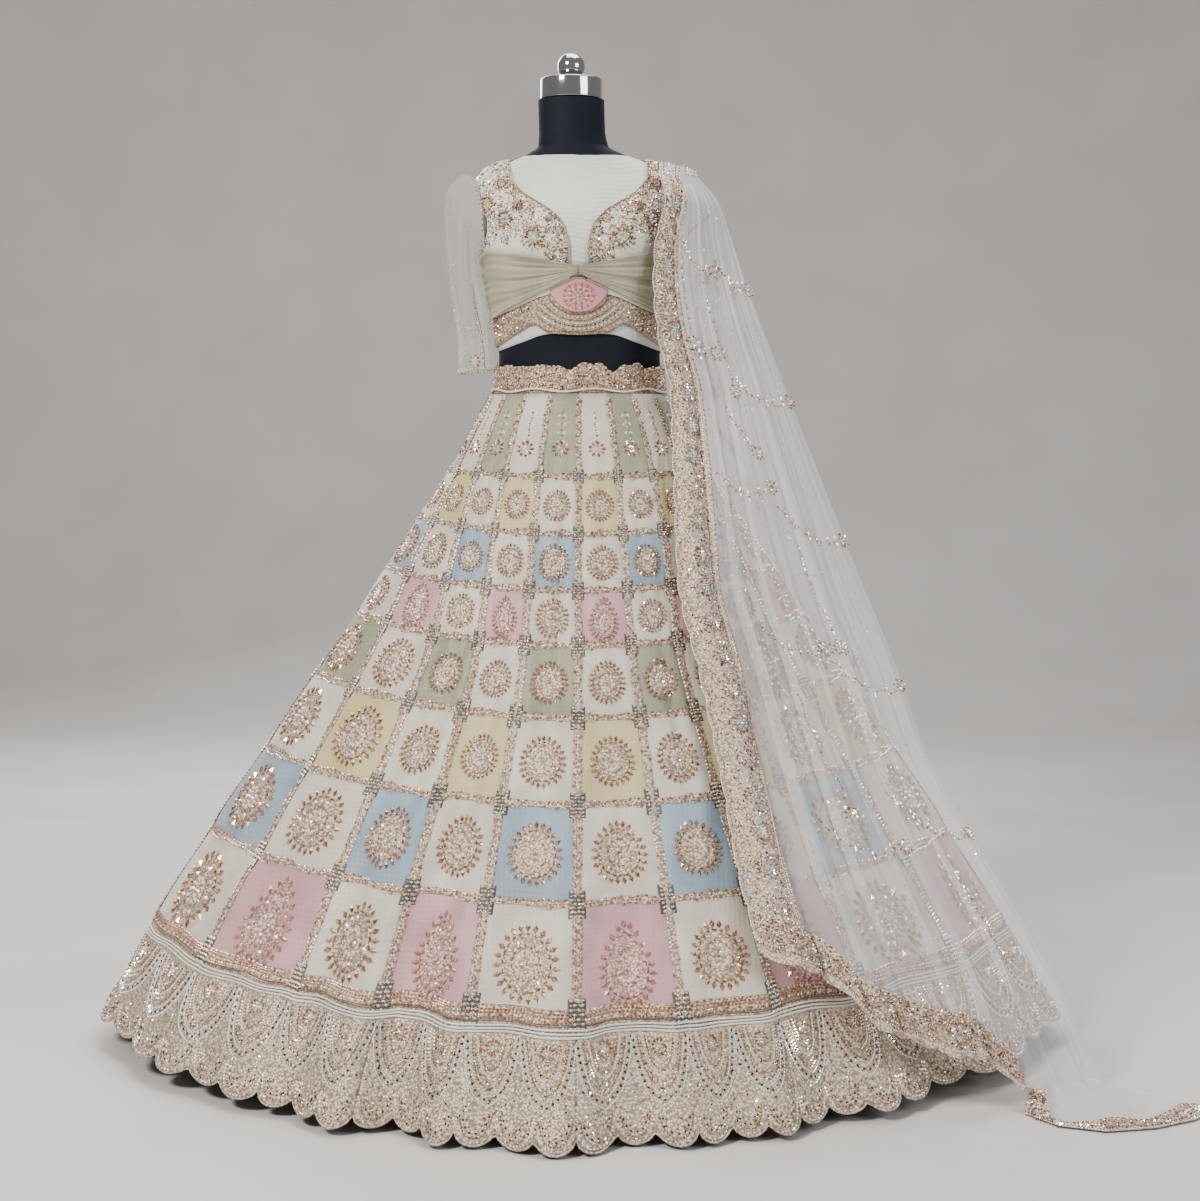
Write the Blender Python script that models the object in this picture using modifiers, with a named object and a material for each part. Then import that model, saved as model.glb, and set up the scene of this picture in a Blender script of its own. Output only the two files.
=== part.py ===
"""A lehenga choli on a limbless dress form: a flared patchwork skirt of twenty gores with a
scalloped net border, a net blouse with a beaded front, and a net veil pinned on the wearer's
left shoulder that falls beside the skirt and trails on the floor.

Metres, +Z up. The front faces -Y. "right" and "left" are the wearer's own, so right is -X.
The origin is on the floor, under the pole. Each cloth is a thin wall lofted from a surface
function, and cloths that meet at a seam are cut from one function, 0.3 mm apart.
"""

import math
from collections import namedtuple

import bmesh
import bpy
import numpy as np

SEAM_GAP = 0.0003
CLOTH = 0.0015
NET = 0.0010
SHARP_ANGLE = math.radians(50)

# Dress form

FormSection = namedtuple("FormSection", "z half_width front back centre_x")
FORM_SECTIONS = [
    FormSection(0.800, 0.150, 0.108, 0.112, 0.000),
    FormSection(0.860, 0.154, 0.112, 0.120, 0.000),
    FormSection(0.920, 0.146, 0.105, 0.112, 0.000),
    FormSection(0.985, 0.1295, 0.0935, 0.096, 0.000),
    FormSection(1.040, 0.1210, 0.0880, 0.082, 0.000),
    FormSection(1.090, 0.1250, 0.0920, 0.084, 0.000),
    FormSection(1.140, 0.1320, 0.1000, 0.088, 0.000),
    FormSection(1.200, 0.1410, 0.1160, 0.092, 0.000),
    FormSection(1.245, 0.1450, 0.1040, 0.091, 0.000),
    FormSection(1.280, 0.1480, 0.0800, 0.082, 0.000),
    FormSection(1.300, 0.1500, 0.0640, 0.070, 0.000),
    FormSection(1.316, 0.1400, 0.0540, 0.060, -0.001),
    FormSection(1.330, 0.1080, 0.0490, 0.054, -0.003),
    FormSection(1.342, 0.0730, 0.0480, 0.051, -0.006),
    FormSection(1.354, 0.0530, 0.0480, 0.049, -0.009),
    FormSection(1.380, 0.0495, 0.0480, 0.048, -0.011),
    FormSection(1.422, 0.0495, 0.0480, 0.048, -0.012),
]
BUST_PEAK = 0.006
BUST_ANGLE = math.radians(34)
BUST_SPREAD = math.radians(19)
BUST_Z = 1.200
BUST_RISE = 0.036
NECK_X = -0.012
CAP_RADIUS = 0.046
CAP_Z = 1.4223
FINIAL_Z = 1.4543
FINIAL_RADIUS = 0.0205
FINIAL_STEM = 0.0172
FINIAL_STEM_RADIUS = 0.014
POLE_RADIUS = 0.014
FLANGE_RADIUS = 0.045
FLANGE_THICKNESS = 0.006
COLLAR_RADIUS = 0.032
COLLAR_SHOULDER = 0.020
COLLAR_TOP = 0.050
BASE_RADIUS = 0.200
BASE_THICKNESS = 0.014
BASE_CHAMFER = 0.004
# Heights at which the padded body is lofted below and above the chest rows
WAIST_HEIGHTS = [0.800, 0.840, 0.900, 0.950, 0.985, 1.000, 1.013, 1.027, 1.045, 1.070, 1.100, 1.130, 1.150]
NECK_HEIGHTS = [1.336, 1.342, 1.348, 1.354, 1.380, 1.422]

# Skirt: the cut's rows, from the waist seam (down = 0) to the hem (down = 1)

GORES = 20
SkirtRow = namedtuple("SkirtRow", "down side_x side_z front_y front_z")
SKIRT_ROWS = [
    SkirtRow(0.0000, 0.1325, 0.985, 0.0975, 0.985),
    SkirtRow(0.1210, 0.1960, 0.871, 0.1500, 0.865),
    SkirtRow(0.1940, 0.2410, 0.802, 0.1780, 0.783),
    SkirtRow(0.2724, 0.2920, 0.727, 0.2050, 0.704),
    SkirtRow(0.3446, 0.3370, 0.659, 0.2350, 0.628),
    SkirtRow(0.4386, 0.4000, 0.569, 0.2720, 0.530),
    SkirtRow(0.5587, 0.4760, 0.455, 0.3320, 0.418),
    SkirtRow(0.6919, 0.5600, 0.329, 0.4020, 0.296),
    SkirtRow(0.8460, 0.6520, 0.182, 0.4820, 0.152),
    SkirtRow(1.0000, 0.7340, 0.039, 0.5540, 0.004),
]
BORDER_DOWN = 0.846
WAIST_ROUNDNESS = 2.0
HEM_ROUNDNESS = 1.66
# How far out each seam lies in the hem's plan, from the centre (0) to the side (1)
HEM_SEAMS = [0.0, 0.220, 0.410, 0.605, 0.830, 1.0]
SEAMS_SETTLE = 0.40

# The largest folds: troughs that deepen from their start to the hem. gore is counted from the
# centre front, to the wearer's left as positive; breadth is in gores.
Fold = namedtuple("Fold", "gore depth breadth start")
SKIRT_FOLDS = [
    Fold(-9.30, 0.020, 0.34, 0.40),
    Fold(-8.35, 0.030, 0.36, 0.28),
    Fold(-7.40, 0.018, 0.32, 0.45),
    Fold(-6.45, 0.024, 0.36, 0.35),
    Fold(-5.50, 0.014, 0.34, 0.50),
    Fold(-4.45, 0.015, 0.34, 0.48),
    Fold(-3.50, 0.014, 0.32, 0.50),
    Fold(-2.70, 0.020, 0.32, 0.40),
    Fold(-1.60, 0.036, 0.34, 0.22),
    Fold(-0.72, 0.018, 0.28, 0.45),
    Fold(0.53, 0.032, 0.34, 0.28),
    Fold(1.35, 0.018, 0.30, 0.42),
    Fold(2.35, 0.024, 0.34, 0.36),
    Fold(3.45, 0.018, 0.34, 0.42),
    Fold(4.50, 0.014, 0.34, 0.50),
    Fold(5.55, 0.018, 0.36, 0.42),
    Fold(6.50, 0.026, 0.36, 0.32),
    Fold(7.50, 0.018, 0.32, 0.44),
    Fold(8.45, 0.030, 0.36, 0.30),
    Fold(9.45, 0.020, 0.34, 0.38),
]
SCALLOPS_PER_GORE = 3
SCALLOP_RISE = 0.017
BORDER_GORES = 2
BORDER_SEAM = 0.0008

# Waistband

BAND_BOTTOM = 0.9854
BAND_TOP = 1.0260
RUFFLES = 11
RUFFLE_DEPTH = 0.0035
RUFFLE_RISE = 0.0080
PIPING_RADIUS = 0.0022
BAND_OUT = 0.0005
WAIST_PIPING_Z = 0.9905
BORDER_CORD_BELOW = 0.012

# Blouse layers, measured outward from the dress form

LINING_OUT = 0.0008
LAYER_GAP = 0.0012
PANEL_OUT = LINING_OUT + NET + LAYER_GAP
DRAPE_OUT = PANEL_OUT + CLOTH + 1.6 * LAYER_GAP
YOKE_OUT = LINING_OUT + 0.0001
YOKE_REACH = math.radians(58)

NecklinePoint = namedtuple("NecklinePoint", "z x")
NECKLINE = [
    NecklinePoint(1.160, 0.012),
    NecklinePoint(1.195, 0.012),
    NecklinePoint(1.225, 0.019),
    NecklinePoint(1.247, 0.036),
    NecklinePoint(1.264, 0.062),
    NecklinePoint(1.284, 0.086),
    NecklinePoint(1.304, 0.097),
    NecklinePoint(1.330, 0.0975),
]
BACK_NECKLINE = [
    NecklinePoint(1.285, 0.000),
    NecklinePoint(1.292, 0.045),
    NecklinePoint(1.304, 0.076),
    NecklinePoint(1.330, 0.0975),
]
ARMHOLE_BOTTOM = 1.185
ARMHOLE_TOP = 1.307
ARMHOLE_ANGLE = math.radians(24)
PANEL_TOP = 1.3285
# Row heights of the cloths that lie on the shoulders and chest, close together where they bend
CHEST_ROWS = [1.320, 1.312, 1.304, 1.294, 1.280, 1.262, 1.242, 1.220, 1.198, 1.172]

# Heights of the blouse's lower lines against the angle from the centre front
LineHeight = namedtuple("LineHeight", "degrees z")
PANEL_BOTTOM = [
    LineHeight(0, 1.140),
    LineHeight(25, 1.126),
    LineHeight(50, 1.108),
    LineHeight(90, 1.096),
    LineHeight(135, 1.096),
    LineHeight(180, 1.096),
]
BAND_HEM = [
    LineHeight(0, 1.0715),
    LineHeight(20, 1.0745),
    LineHeight(31, 1.0870),
    LineHeight(45, 1.0760),
    LineHeight(70, 1.0600),
    LineHeight(90, 1.0560),
    LineHeight(180, 1.0600),
]
LINING_HEM = [
    LineHeight(0, 1.0735),
    LineHeight(20, 1.0725),
    LineHeight(45, 1.0600),
    LineHeight(70, 1.0510),
    LineHeight(90, 1.0490),
    LineHeight(180, 1.0530),
]
LINING_TOP = 1.112
DrapeEdge = namedtuple("DrapeEdge", "degrees upper lower")
DRAPE_EDGES = [
    DrapeEdge(2, 1.1700, 1.1575),
    DrapeEdge(20, 1.1790, 1.1365),
    DrapeEdge(40, 1.1880, 1.1180),
    DrapeEdge(62, 1.1960, 1.1010),
    DrapeEdge(66, 1.1950, 1.0993),
    DrapeEdge(88, 1.1800, 1.0900),
]
DRAPE_ENDS = (math.radians(0.6), math.radians(86.0))
DRAPE_FOLDS = 3
DRAPE_FOLD_DEPTH = 0.0028
DRAPE_SMOOTH_MIDDLE = math.radians(50)
GUSSET_HALF = math.radians(18)
GUSSET_BOTTOM = 1.1040
GUSSET_SEAM = 0.0018
GUSSET_SIDE = 0.0066
GUSSET_CURVE = 2.4
BAND_SEAM = 0.0006
BACK_SEAM_HALF = 0.0006
SIDE_SEAM_ANGLE = 0.002
BAND_END_ANGLE = 0.0012
YOKE_UNDER = 0.006

# Sleeve rings, from the armhole down. tilt 90 faces the side, 0 faces the floor.
SleeveRing = namedtuple("SleeveRing", "x y z half_across half_depth tilt wave")
RIGHT_SLEEVE = [
    SleeveRing(0.1620, 0.000, 1.2500, 0.0640, 0.0500, 80, 0.0006),
    SleeveRing(0.1740, -0.003, 1.2430, 0.0500, 0.0540, 64, 0.0016),
    SleeveRing(0.1740, -0.006, 1.2150, 0.0290, 0.0560, 30, 0.0022),
    SleeveRing(0.1725, -0.008, 1.1700, 0.0230, 0.0560, 6, 0.0028),
    SleeveRing(0.1655, -0.010, 1.1250, 0.0235, 0.0540, 0, 0.0032),
    SleeveRing(0.1610, -0.013, 1.0900, 0.0220, 0.0480, 0, 0.0034),
    SleeveRing(0.1590, -0.016, 1.0650, 0.0205, 0.0400, 0, 0.0030),
    SleeveRing(0.1580, -0.020, 1.0400, 0.0220, 0.0420, 0, 0.0034),
    SleeveRing(0.1575, -0.024, 1.0170, 0.0225, 0.0400, -8, 0.0034),
]
LEFT_SLEEVE = [
    SleeveRing(0.1560, 0.002, 1.2470, 0.0550, 0.0430, 80, 0.0006),
    SleeveRing(0.1690, 0.004, 1.2430, 0.0410, 0.0360, 62, 0.0010),
    SleeveRing(0.1730, 0.006, 1.2350, 0.0260, 0.0310, 36, 0.0014),
]
SLEEVE_SEAM_OUT = PANEL_OUT + CLOTH + 0.0008
SLEEVE_WAVES = 7

# Veil: where its inner and outer edges run at each height
VeilRow = namedtuple("VeilRow", "z inner_x inner_y outer_x outer_y")
FRONT_FALL = [
    VeilRow(1.305, 0.1180, -0.062, 0.1760, -0.024),
    VeilRow(1.270, 0.1260, -0.088, 0.2060, -0.026),
    VeilRow(1.200, 0.1120, -0.104, 0.2320, -0.024),
    VeilRow(1.150, 0.1100, -0.104, 0.2480, -0.028),
    VeilRow(1.070, 0.1180, -0.100, 0.2780, -0.034),
    VeilRow(0.985, 0.1360, -0.104, 0.3100, -0.042),
    VeilRow(0.850, 0.1400, -0.148, 0.3620, -0.060),
    VeilRow(0.720, 0.1440, -0.202, 0.4120, -0.080),
    VeilRow(0.590, 0.1730, -0.252, 0.4640, -0.110),
    VeilRow(0.460, 0.1990, -0.310, 0.5080, -0.140),
    VeilRow(0.330, 0.2210, -0.382, 0.5790, -0.172),
    VeilRow(0.220, 0.2520, -0.436, 0.6430, -0.202),
    VeilRow(0.110, 0.2800, -0.480, 0.7030, -0.228),
    VeilRow(0.000, 0.3100, -0.520, 0.7480, -0.252),
]
BACK_FALL = [
    VeilRow(1.305, 0.1200, 0.074, 0.1740, 0.030),
    VeilRow(1.200, 0.1180, 0.112, 0.2150, 0.045),
    VeilRow(1.100, 0.1160, 0.116, 0.2450, 0.055),
    VeilRow(0.985, 0.1260, 0.130, 0.2800, 0.070),
    VeilRow(0.850, 0.1400, 0.172, 0.3320, 0.098),
    VeilRow(0.700, 0.1560, 0.238, 0.3900, 0.130),
    VeilRow(0.560, 0.1740, 0.302, 0.4440, 0.166),
    VeilRow(0.420, 0.1930, 0.366, 0.4960, 0.200),
]
# How low the front fall's end hangs, across the cloth
FallEnd = namedtuple("FallEnd", "across z")
FRONT_END = [
    FallEnd(0.00, 0.236),
    FallEnd(0.12, 0.216),
    FallEnd(0.20, 0.188),
    FallEnd(0.26, 0.142),
    FallEnd(0.36, 0.118),
    FallEnd(0.46, 0.096),
    FallEnd(0.58, 0.080),
    FallEnd(0.68, 0.030),
    FallEnd(1.00, 0.016),
]
BACK_END_Z = 0.450
FRONT_PLEATS = 5.0
BACK_PLEATS = 3.0
PLEAT_DEPTH_TOP = 0.0035
PLEAT_DEPTH_END = 0.0190
BULGE_TOP = 0.013
BULGE_END = 0.040
# How high the gathered net arches over the shoulder, above the line between the two falls
SHOULDER_ARCH_INNER = 0.0273
SHOULDER_ARCH_OUTER = 0.0107
# The end that lies on the floor: where its attached and free edges run
TailStation = namedtuple("TailStation", "free_x free_y")
TAIL_FREE = [
    TailStation(0.612, -0.385),
    TailStation(0.646, -0.440),
    TailStation(0.705, -0.462),
    TailStation(0.775, -0.448),
    TailStation(0.835, -0.415),
    TailStation(0.880, -0.372),
]
TAIL_START = 0.68
TAIL_Z = 0.0022

# Colours as RGB, roughness and metallic

Finish = namedtuple("Finish", "colour roughness metallic")
IVORY_NET = Finish((0.84, 0.80, 0.70), 0.62, 0.0)
BEADED_NET = Finish((0.76, 0.62, 0.52), 0.40, 0.25)
LINING_WHITE = Finish((0.86, 0.84, 0.80), 0.60, 0.0)
PINK_SILK = Finish((0.82, 0.50, 0.54), 0.50, 0.0)
VEIL_NET = Finish((0.84, 0.76, 0.76), 0.58, 0.0)
CORD_WHITE = Finish((0.90, 0.88, 0.84), 0.45, 0.0)
FORM_FABRIC = Finish((0.012, 0.014, 0.026), 0.80, 0.0)
CHROME = Finish((0.80, 0.80, 0.80), 0.15, 1.0)
STEEL = Finish((0.55, 0.55, 0.56), 0.35, 1.0)
GORE_COLOURS = [(0.66, 0.66, 0.50), (0.84, 0.80, 0.70)]


def material(name, finish):
    made = bpy.data.materials.new(name)
    made.use_nodes = True
    shader = made.node_tree.nodes["Principled BSDF"]
    shader.inputs["Base Color"].default_value = (*finish.colour, 1.0)
    shader.inputs["Roughness"].default_value = finish.roughness
    shader.inputs["Metallic"].default_value = finish.metallic
    return made


def curve_through(table, key, value, at):
    """A smooth, never overshooting curve through a table's rows (monotone cubic)."""
    xs = np.array([getattr(row, key) for row in table], float)
    ys = np.array([getattr(row, value) for row in table], float)
    if xs[0] > xs[-1]:
        xs = xs[::-1]
        ys = ys[::-1]
    steps = np.diff(xs)
    slopes = np.diff(ys) / steps
    tangents = np.zeros_like(ys)
    tangents[0] = slopes[0]
    tangents[-1] = slopes[-1]
    same_way = slopes[:-1] * slopes[1:] > 0
    joined = np.where(same_way, slopes[:-1] + slopes[1:], 1.0)
    tangents[1:-1] = np.where(same_way, 2 * slopes[:-1] * slopes[1:] / joined, 0.0)
    at = np.clip(np.asarray(at, float), xs[0], xs[-1])
    cell = np.clip(np.searchsorted(xs, at, side="right") - 1, 0, len(xs) - 2)
    t = (at - xs[cell]) / steps[cell]
    rise = t * t * (3 - 2 * t)
    lead = t * (1 - t) ** 2 * tangents[cell]
    trail = t * t * (1 - t) * tangents[cell + 1]
    return ys[cell] + (ys[cell + 1] - ys[cell]) * rise + steps[cell] * (lead - trail)


def smooth_step(t):
    t = np.clip(t, 0.0, 1.0)
    return t * t * (3 - 2 * t)


def outward_of(place):
    """Level unit vectors away from the axis, turned towards front and back as an oval's are."""
    outward = place * np.array([1.0, 1.9, 0.0])
    return outward / np.linalg.norm(outward, axis=-1, keepdims=True)


def surface_normals(surface, across, down, step=1e-4):
    """Unit normals of surface(across, down), which on the whole point away from the axis."""
    along = surface(across + step, down) - surface(across - step, down)
    below = surface(across, down + step) - surface(across, down - step)
    normals = np.cross(along, below)
    normals = normals / np.linalg.norm(normals, axis=-1, keepdims=True)
    facing = (normals[..., :2] * surface(across, down)[..., :2]).sum()
    return -normals if facing < 0 else normals


def body_collection():
    parts = bpy.data.collections.new("lehenga_choli_on_dress_form")
    bpy.context.scene.collection.children.link(parts)
    return parts


def object_from(name, points, faces, finish):
    mesh = bpy.data.meshes.new(name)
    mesh.from_pydata([tuple(map(float, point)) for point in points], [], faces)
    mesh.validate()
    made = bmesh.new()
    made.from_mesh(mesh)
    bmesh.ops.recalc_face_normals(made, faces=made.faces)
    if made.calc_volume(signed=True) < 0:
        bmesh.ops.reverse_faces(made, faces=made.faces)
    made.to_mesh(mesh)
    made.free()
    mesh.shade_smooth()
    mesh.set_sharp_from_angle(angle=SHARP_ANGLE)
    mesh.materials.append(material(name, finish))
    placed = bpy.data.objects.new(name, mesh)
    PARTS.objects.link(placed)
    return placed


def wall(name, surface, across, down, finish, inner, thickness, closed=False):
    """A cloth wall: two skins of surface(across, down), moved out by inner and by inner plus
    thickness, and the rim between them. across and down are grids of one shape."""
    rows, columns = across.shape
    middle = surface(across, down)
    normals = surface_normals(surface, across, down)
    skins = [middle + normals * (inner + thickness), middle + normals * inner]
    points = np.concatenate([skin.reshape(-1, 3) for skin in skins])
    spans = columns if closed else columns - 1

    def at(skin, row, column):
        return skin * rows * columns + row * columns + column % columns

    faces = []
    for row in range(rows - 1):
        for column in range(spans):
            corners = [(row, column), (row, column + 1), (row + 1, column + 1), (row + 1, column)]
            faces.append([at(0, *corner) for corner in corners])
            faces.append([at(1, *corner) for corner in reversed(corners)])
    for column in range(spans):
        for row in (0, rows - 1):
            outer = [at(0, row, column), at(0, row, column + 1)]
            faces.append(outer + [at(1, row, column + 1), at(1, row, column)])
    if not closed:
        for row in range(rows - 1):
            for column in (0, columns - 1):
                outer = [at(0, row, column), at(0, row + 1, column)]
                faces.append(outer + [at(1, row + 1, column), at(1, row, column)])
    return object_from(name, points, faces, finish)


# Dress form surface: angle runs from the centre front, positive to the wearer's left


def form_point(angle, z):
    half_width = curve_through(FORM_SECTIONS, "z", "half_width", z)
    front = curve_through(FORM_SECTIONS, "z", "front", z)
    back = curve_through(FORM_SECTIONS, "z", "back", z)
    centre_x = curve_through(FORM_SECTIONS, "z", "centre_x", z)
    turn = np.arctan2(np.sin(angle), np.cos(angle))
    bust = BUST_PEAK * np.exp(-(((np.abs(turn) - BUST_ANGLE) / BUST_SPREAD) ** 2))
    bust = bust * np.exp(-(((z - BUST_Z) / BUST_RISE) ** 2))
    depth = np.where(np.cos(turn) > 0, front + bust, back)
    x = centre_x + half_width * np.sin(turn)
    y = -depth * np.cos(turn)
    return np.stack([x, y, z + 0.0 * x], axis=-1)


def form_angle(x, z):
    """The angle at which the form's front lies x from the centre, at height z."""
    half_width = curve_through(FORM_SECTIONS, "z", "half_width", z)
    centre_x = curve_through(FORM_SECTIONS, "z", "centre_x", z)
    return np.arcsin(np.clip((x - centre_x) / half_width, -1.0, 1.0))


def loft_solid(name, rings, finish):
    """A closed solid through rings of the same number of points, with flat ends."""
    count = len(rings[0])
    points = np.concatenate(rings)
    faces = [list(range(count)), list(range(len(points) - count, len(points)))]
    for level in range(len(rings) - 1):
        for step in range(count):
            here = level * count + step
            beside = level * count + (step + 1) % count
            faces.append([here, beside, beside + count, here + count])
    return object_from(name, points, faces, finish)


def turned(name, profile, finish, centre_x=0.0, steps=20):
    """A turned piece: profile lists (radius, z) down its outer side, from the axis to the axis."""
    mesh = bpy.data.meshes.new(name)
    points = [(radius, 0.0, z) for radius, z in profile]
    mesh.from_pydata(points, [(i, i + 1) for i in range(len(points) - 1)], [])
    mesh.materials.append(material(name, finish))
    placed = bpy.data.objects.new(name, mesh)
    placed.location = (centre_x, 0.0, 0.0)
    PARTS.objects.link(placed)
    screw = placed.modifiers.new("turn", "SCREW")
    screw.axis = "Z"
    screw.angle = math.tau
    screw.steps = steps
    screw.render_steps = steps
    screw.use_merge_vertices = True
    screw.merge_threshold = 0.0001
    screw.use_smooth_shade = True
    return placed


def ball_profile(radius, centre_z, stem_radius, stem_bottom, points=8):
    """From the ball's top, round its side, to the stem and the axis."""
    lowest = math.asin(stem_radius / radius)
    turns = np.linspace(0.0, math.pi - lowest, points)
    profile = [(radius * math.sin(turn), centre_z + radius * math.cos(turn)) for turn in turns]
    profile[0] = (0.0, centre_z + radius)
    return profile + [(stem_radius, stem_bottom), (0.0, stem_bottom)]


def make_dress_form():
    angles = np.linspace(0.0, math.tau, 24, endpoint=False)
    heights = WAIST_HEIGHTS + CHEST_ROWS[::-1] + [PANEL_TOP] + NECK_HEIGHTS
    rings = [form_point(angles, np.full_like(angles, z)) for z in heights]
    loft_solid("form_torso", rings, FORM_FABRIC)
    cap_top = FINIAL_Z - SEAM_GAP
    cap = [(0.0, cap_top), (CAP_RADIUS - 0.004, cap_top), (CAP_RADIUS, cap_top - 0.003)]
    cap += [(CAP_RADIUS, CAP_Z + 0.003), (CAP_RADIUS - 0.002, CAP_Z), (0.0, CAP_Z)]
    turned("form_cap", cap, CHROME, NECK_X)
    finial = ball_profile(FINIAL_RADIUS, FINIAL_Z + FINIAL_STEM, FINIAL_STEM_RADIUS, FINIAL_Z)
    turned("form_finial", finial, CHROME, NECK_X)
    pole_bottom = BASE_THICKNESS + SEAM_GAP
    pole_top = FORM_SECTIONS[0].z - SEAM_GAP
    pole = [(0.0, pole_top), (FLANGE_RADIUS, pole_top), (FLANGE_RADIUS, pole_top - FLANGE_THICKNESS)]
    pole += [(POLE_RADIUS, pole_top - FLANGE_THICKNESS), (POLE_RADIUS, pole_bottom + COLLAR_TOP)]
    pole += [(COLLAR_RADIUS, pole_bottom + COLLAR_SHOULDER), (COLLAR_RADIUS, pole_bottom)]
    pole += [(0.0, pole_bottom)]
    turned("form_pole", pole, STEEL)
    base = [(0.0, BASE_THICKNESS), (BASE_RADIUS - BASE_CHAMFER, BASE_THICKNESS)]
    base += [(BASE_RADIUS, BASE_THICKNESS - BASE_CHAMFER), (BASE_RADIUS, 0.0), (0.0, 0.0)]
    turned("form_base", base, STEEL, steps=28)


# Skirt surface: gore runs from -10 to 10 round the skirt, 0 at the centre front


def seam_reach(gore, down):
    """How far out a place lies in the plan, 0 at the centre to 1 at the side, in a quarter."""
    quarter = np.abs(gore)
    quarter = np.where(quarter > GORES / 4, GORES / 2 - quarter, quarter)
    waist = np.sin(quarter * math.tau / GORES)
    hem = np.interp(quarter, np.arange(len(HEM_SEAMS)), HEM_SEAMS)
    spread_turn = np.interp(quarter, np.arange(len(HEM_SEAMS)), np.arcsin(HEM_SEAMS))
    hem = 0.35 * hem + 0.65 * np.sin(spread_turn)
    return waist + (hem - waist) * smooth_step(down / SEAMS_SETTLE)


def skirt_base(gore, down):
    """The skirt without its folds, and the plan's outward direction."""
    side_x = curve_through(SKIRT_ROWS, "down", "side_x", down)
    front_y = curve_through(SKIRT_ROWS, "down", "front_y", down)
    side_z = curve_through(SKIRT_ROWS, "down", "side_z", down)
    front_z = curve_through(SKIRT_ROWS, "down", "front_z", down)
    power = WAIST_ROUNDNESS + (HEM_ROUNDNESS - WAIST_ROUNDNESS) * smooth_step(down / 0.7)
    reach = np.clip(seam_reach(gore, down), 0.0, 1.0)
    fore = np.clip(1.0 - reach**power, 0.0, 1.0) ** (1.0 / power)
    x = side_x * reach * np.sign(gore)
    y = np.where(np.abs(gore) > GORES / 4, 1.0, -1.0) * front_y * fore
    z = front_z + (side_z - front_z) * reach**2
    return np.stack(np.broadcast_arrays(x, y, z), axis=-1)


def fold_depth(gore, down):
    """How far the folds draw the cloth in. The ridges between troughs swell out a little."""
    depth = np.zeros(np.broadcast(gore, down).shape)
    for fold in SKIRT_FOLDS:
        away = (gore - fold.gore + GORES / 2) % GORES - GORES / 2
        grown = np.clip((down - fold.start) / (1.0 - fold.start), 0.0, 1.2) ** 1.15
        trough = np.exp(-((away / fold.breadth) ** 2))
        shoulders = 0.28 * np.exp(-(((np.abs(away) - 1.7 * fold.breadth) / fold.breadth) ** 2))
        depth = depth + fold.depth * grown * (trough - shoulders)
    return depth


def skirt_point(gore, down):
    gore = (np.asarray(gore, float) + GORES / 2) % GORES - GORES / 2
    down = np.asarray(down, float)
    base = skirt_base(gore, down)
    return base - outward_of(base) * fold_depth(gore, down)[..., None]


def gore_width(gore, down):
    """The width of one gore, in metres, at a place on the skirt."""
    step = 0.01
    across = skirt_point(gore + step, down) - skirt_point(gore - step, down)
    return np.linalg.norm(across, axis=-1) / (2 * step)


def seam_side(gore, inward):
    """A seam line set half a seam gap from the gore's edge. inward is 1 or -1."""
    return lambda down: gore + inward * 0.5 * SEAM_GAP / gore_width(gore + inward * 0.02, down)


def make_gore(number):
    first = number - GORES / 2
    heights = np.array([row.down for row in SKIRT_ROWS if row.down <= BORDER_DOWN])[:, None]
    left = seam_side(first, 1)(heights)
    right = seam_side(first + 1, -1)(heights)
    across = left + (right - left) * np.linspace(0, 1, 6)[None, :]
    down = np.broadcast_to(heights, across.shape)
    finish = Finish(GORE_COLOURS[number % 2], 0.6, 0.0)
    wall(f"skirt_gore_{number + 1:02d}", skirt_point, across, down, finish, 0.0, CLOTH)


def scallop_line(gore):
    """The scalloped edge: 1 at the lowest part of each scallop, less at the cusps."""
    share = (gore * SCALLOPS_PER_GORE) % 1.0
    return 1.0 - SCALLOP_RISE * (1.0 - np.sin(math.pi * share) ** 0.6)


def make_border(number):
    first = number * BORDER_GORES - GORES / 2
    columns = BORDER_GORES * SCALLOPS_PER_GORE * 3
    shares = np.linspace(0.0, 1.0, columns + 1)[None, :]
    gore = first + BORDER_GORES * shares
    edge = scallop_line(gore)
    top = BORDER_DOWN + BORDER_SEAM
    rows = np.array([0.0, 1.0])[:, None]
    down = top + (edge - top) * rows
    across = gore + 0.0 * down
    half_gap = 0.5 * SEAM_GAP / gore_width(first + 0.02, down)
    across = across + half_gap * (1.0 - 2.0 * shares)
    name = f"skirt_border_{number + 1:02d}"
    wall(name, skirt_point, across, down, BEADED_NET, 0.0, CLOTH)


def make_piping(name, surface, level, count):
    """A plain cord along a ring on a surface, as a loft of three-sided sections."""
    gores = np.linspace(-GORES / 2, GORES / 2, count, endpoint=False)
    place = surface(gores, level + 0.0 * gores)
    out = surface_normals(surface, gores, level + 0.0 * gores)
    down = surface(gores, level + 1e-3 + 0.0 * gores) - place
    down = down / np.linalg.norm(down, axis=-1, keepdims=True)
    corners = [(-0.5, -0.9), (1.0, 0.0), (-0.5, 0.9)]
    sides = [place + (out * lead + down * fall) * PIPING_RADIUS for lead, fall in corners]
    points = np.stack(sides, axis=1).reshape(-1, 3)
    faces = []
    for step in range(count):
        following = (step + 1) % count
        for corner in range(len(corners)):
            turned_to = (corner + 1) % len(corners)
            here = step * len(corners)
            there = following * len(corners)
            faces.append([here + corner, here + turned_to, there + turned_to, there + corner])
    return object_from(name, points, faces, CORD_WHITE)


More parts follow.
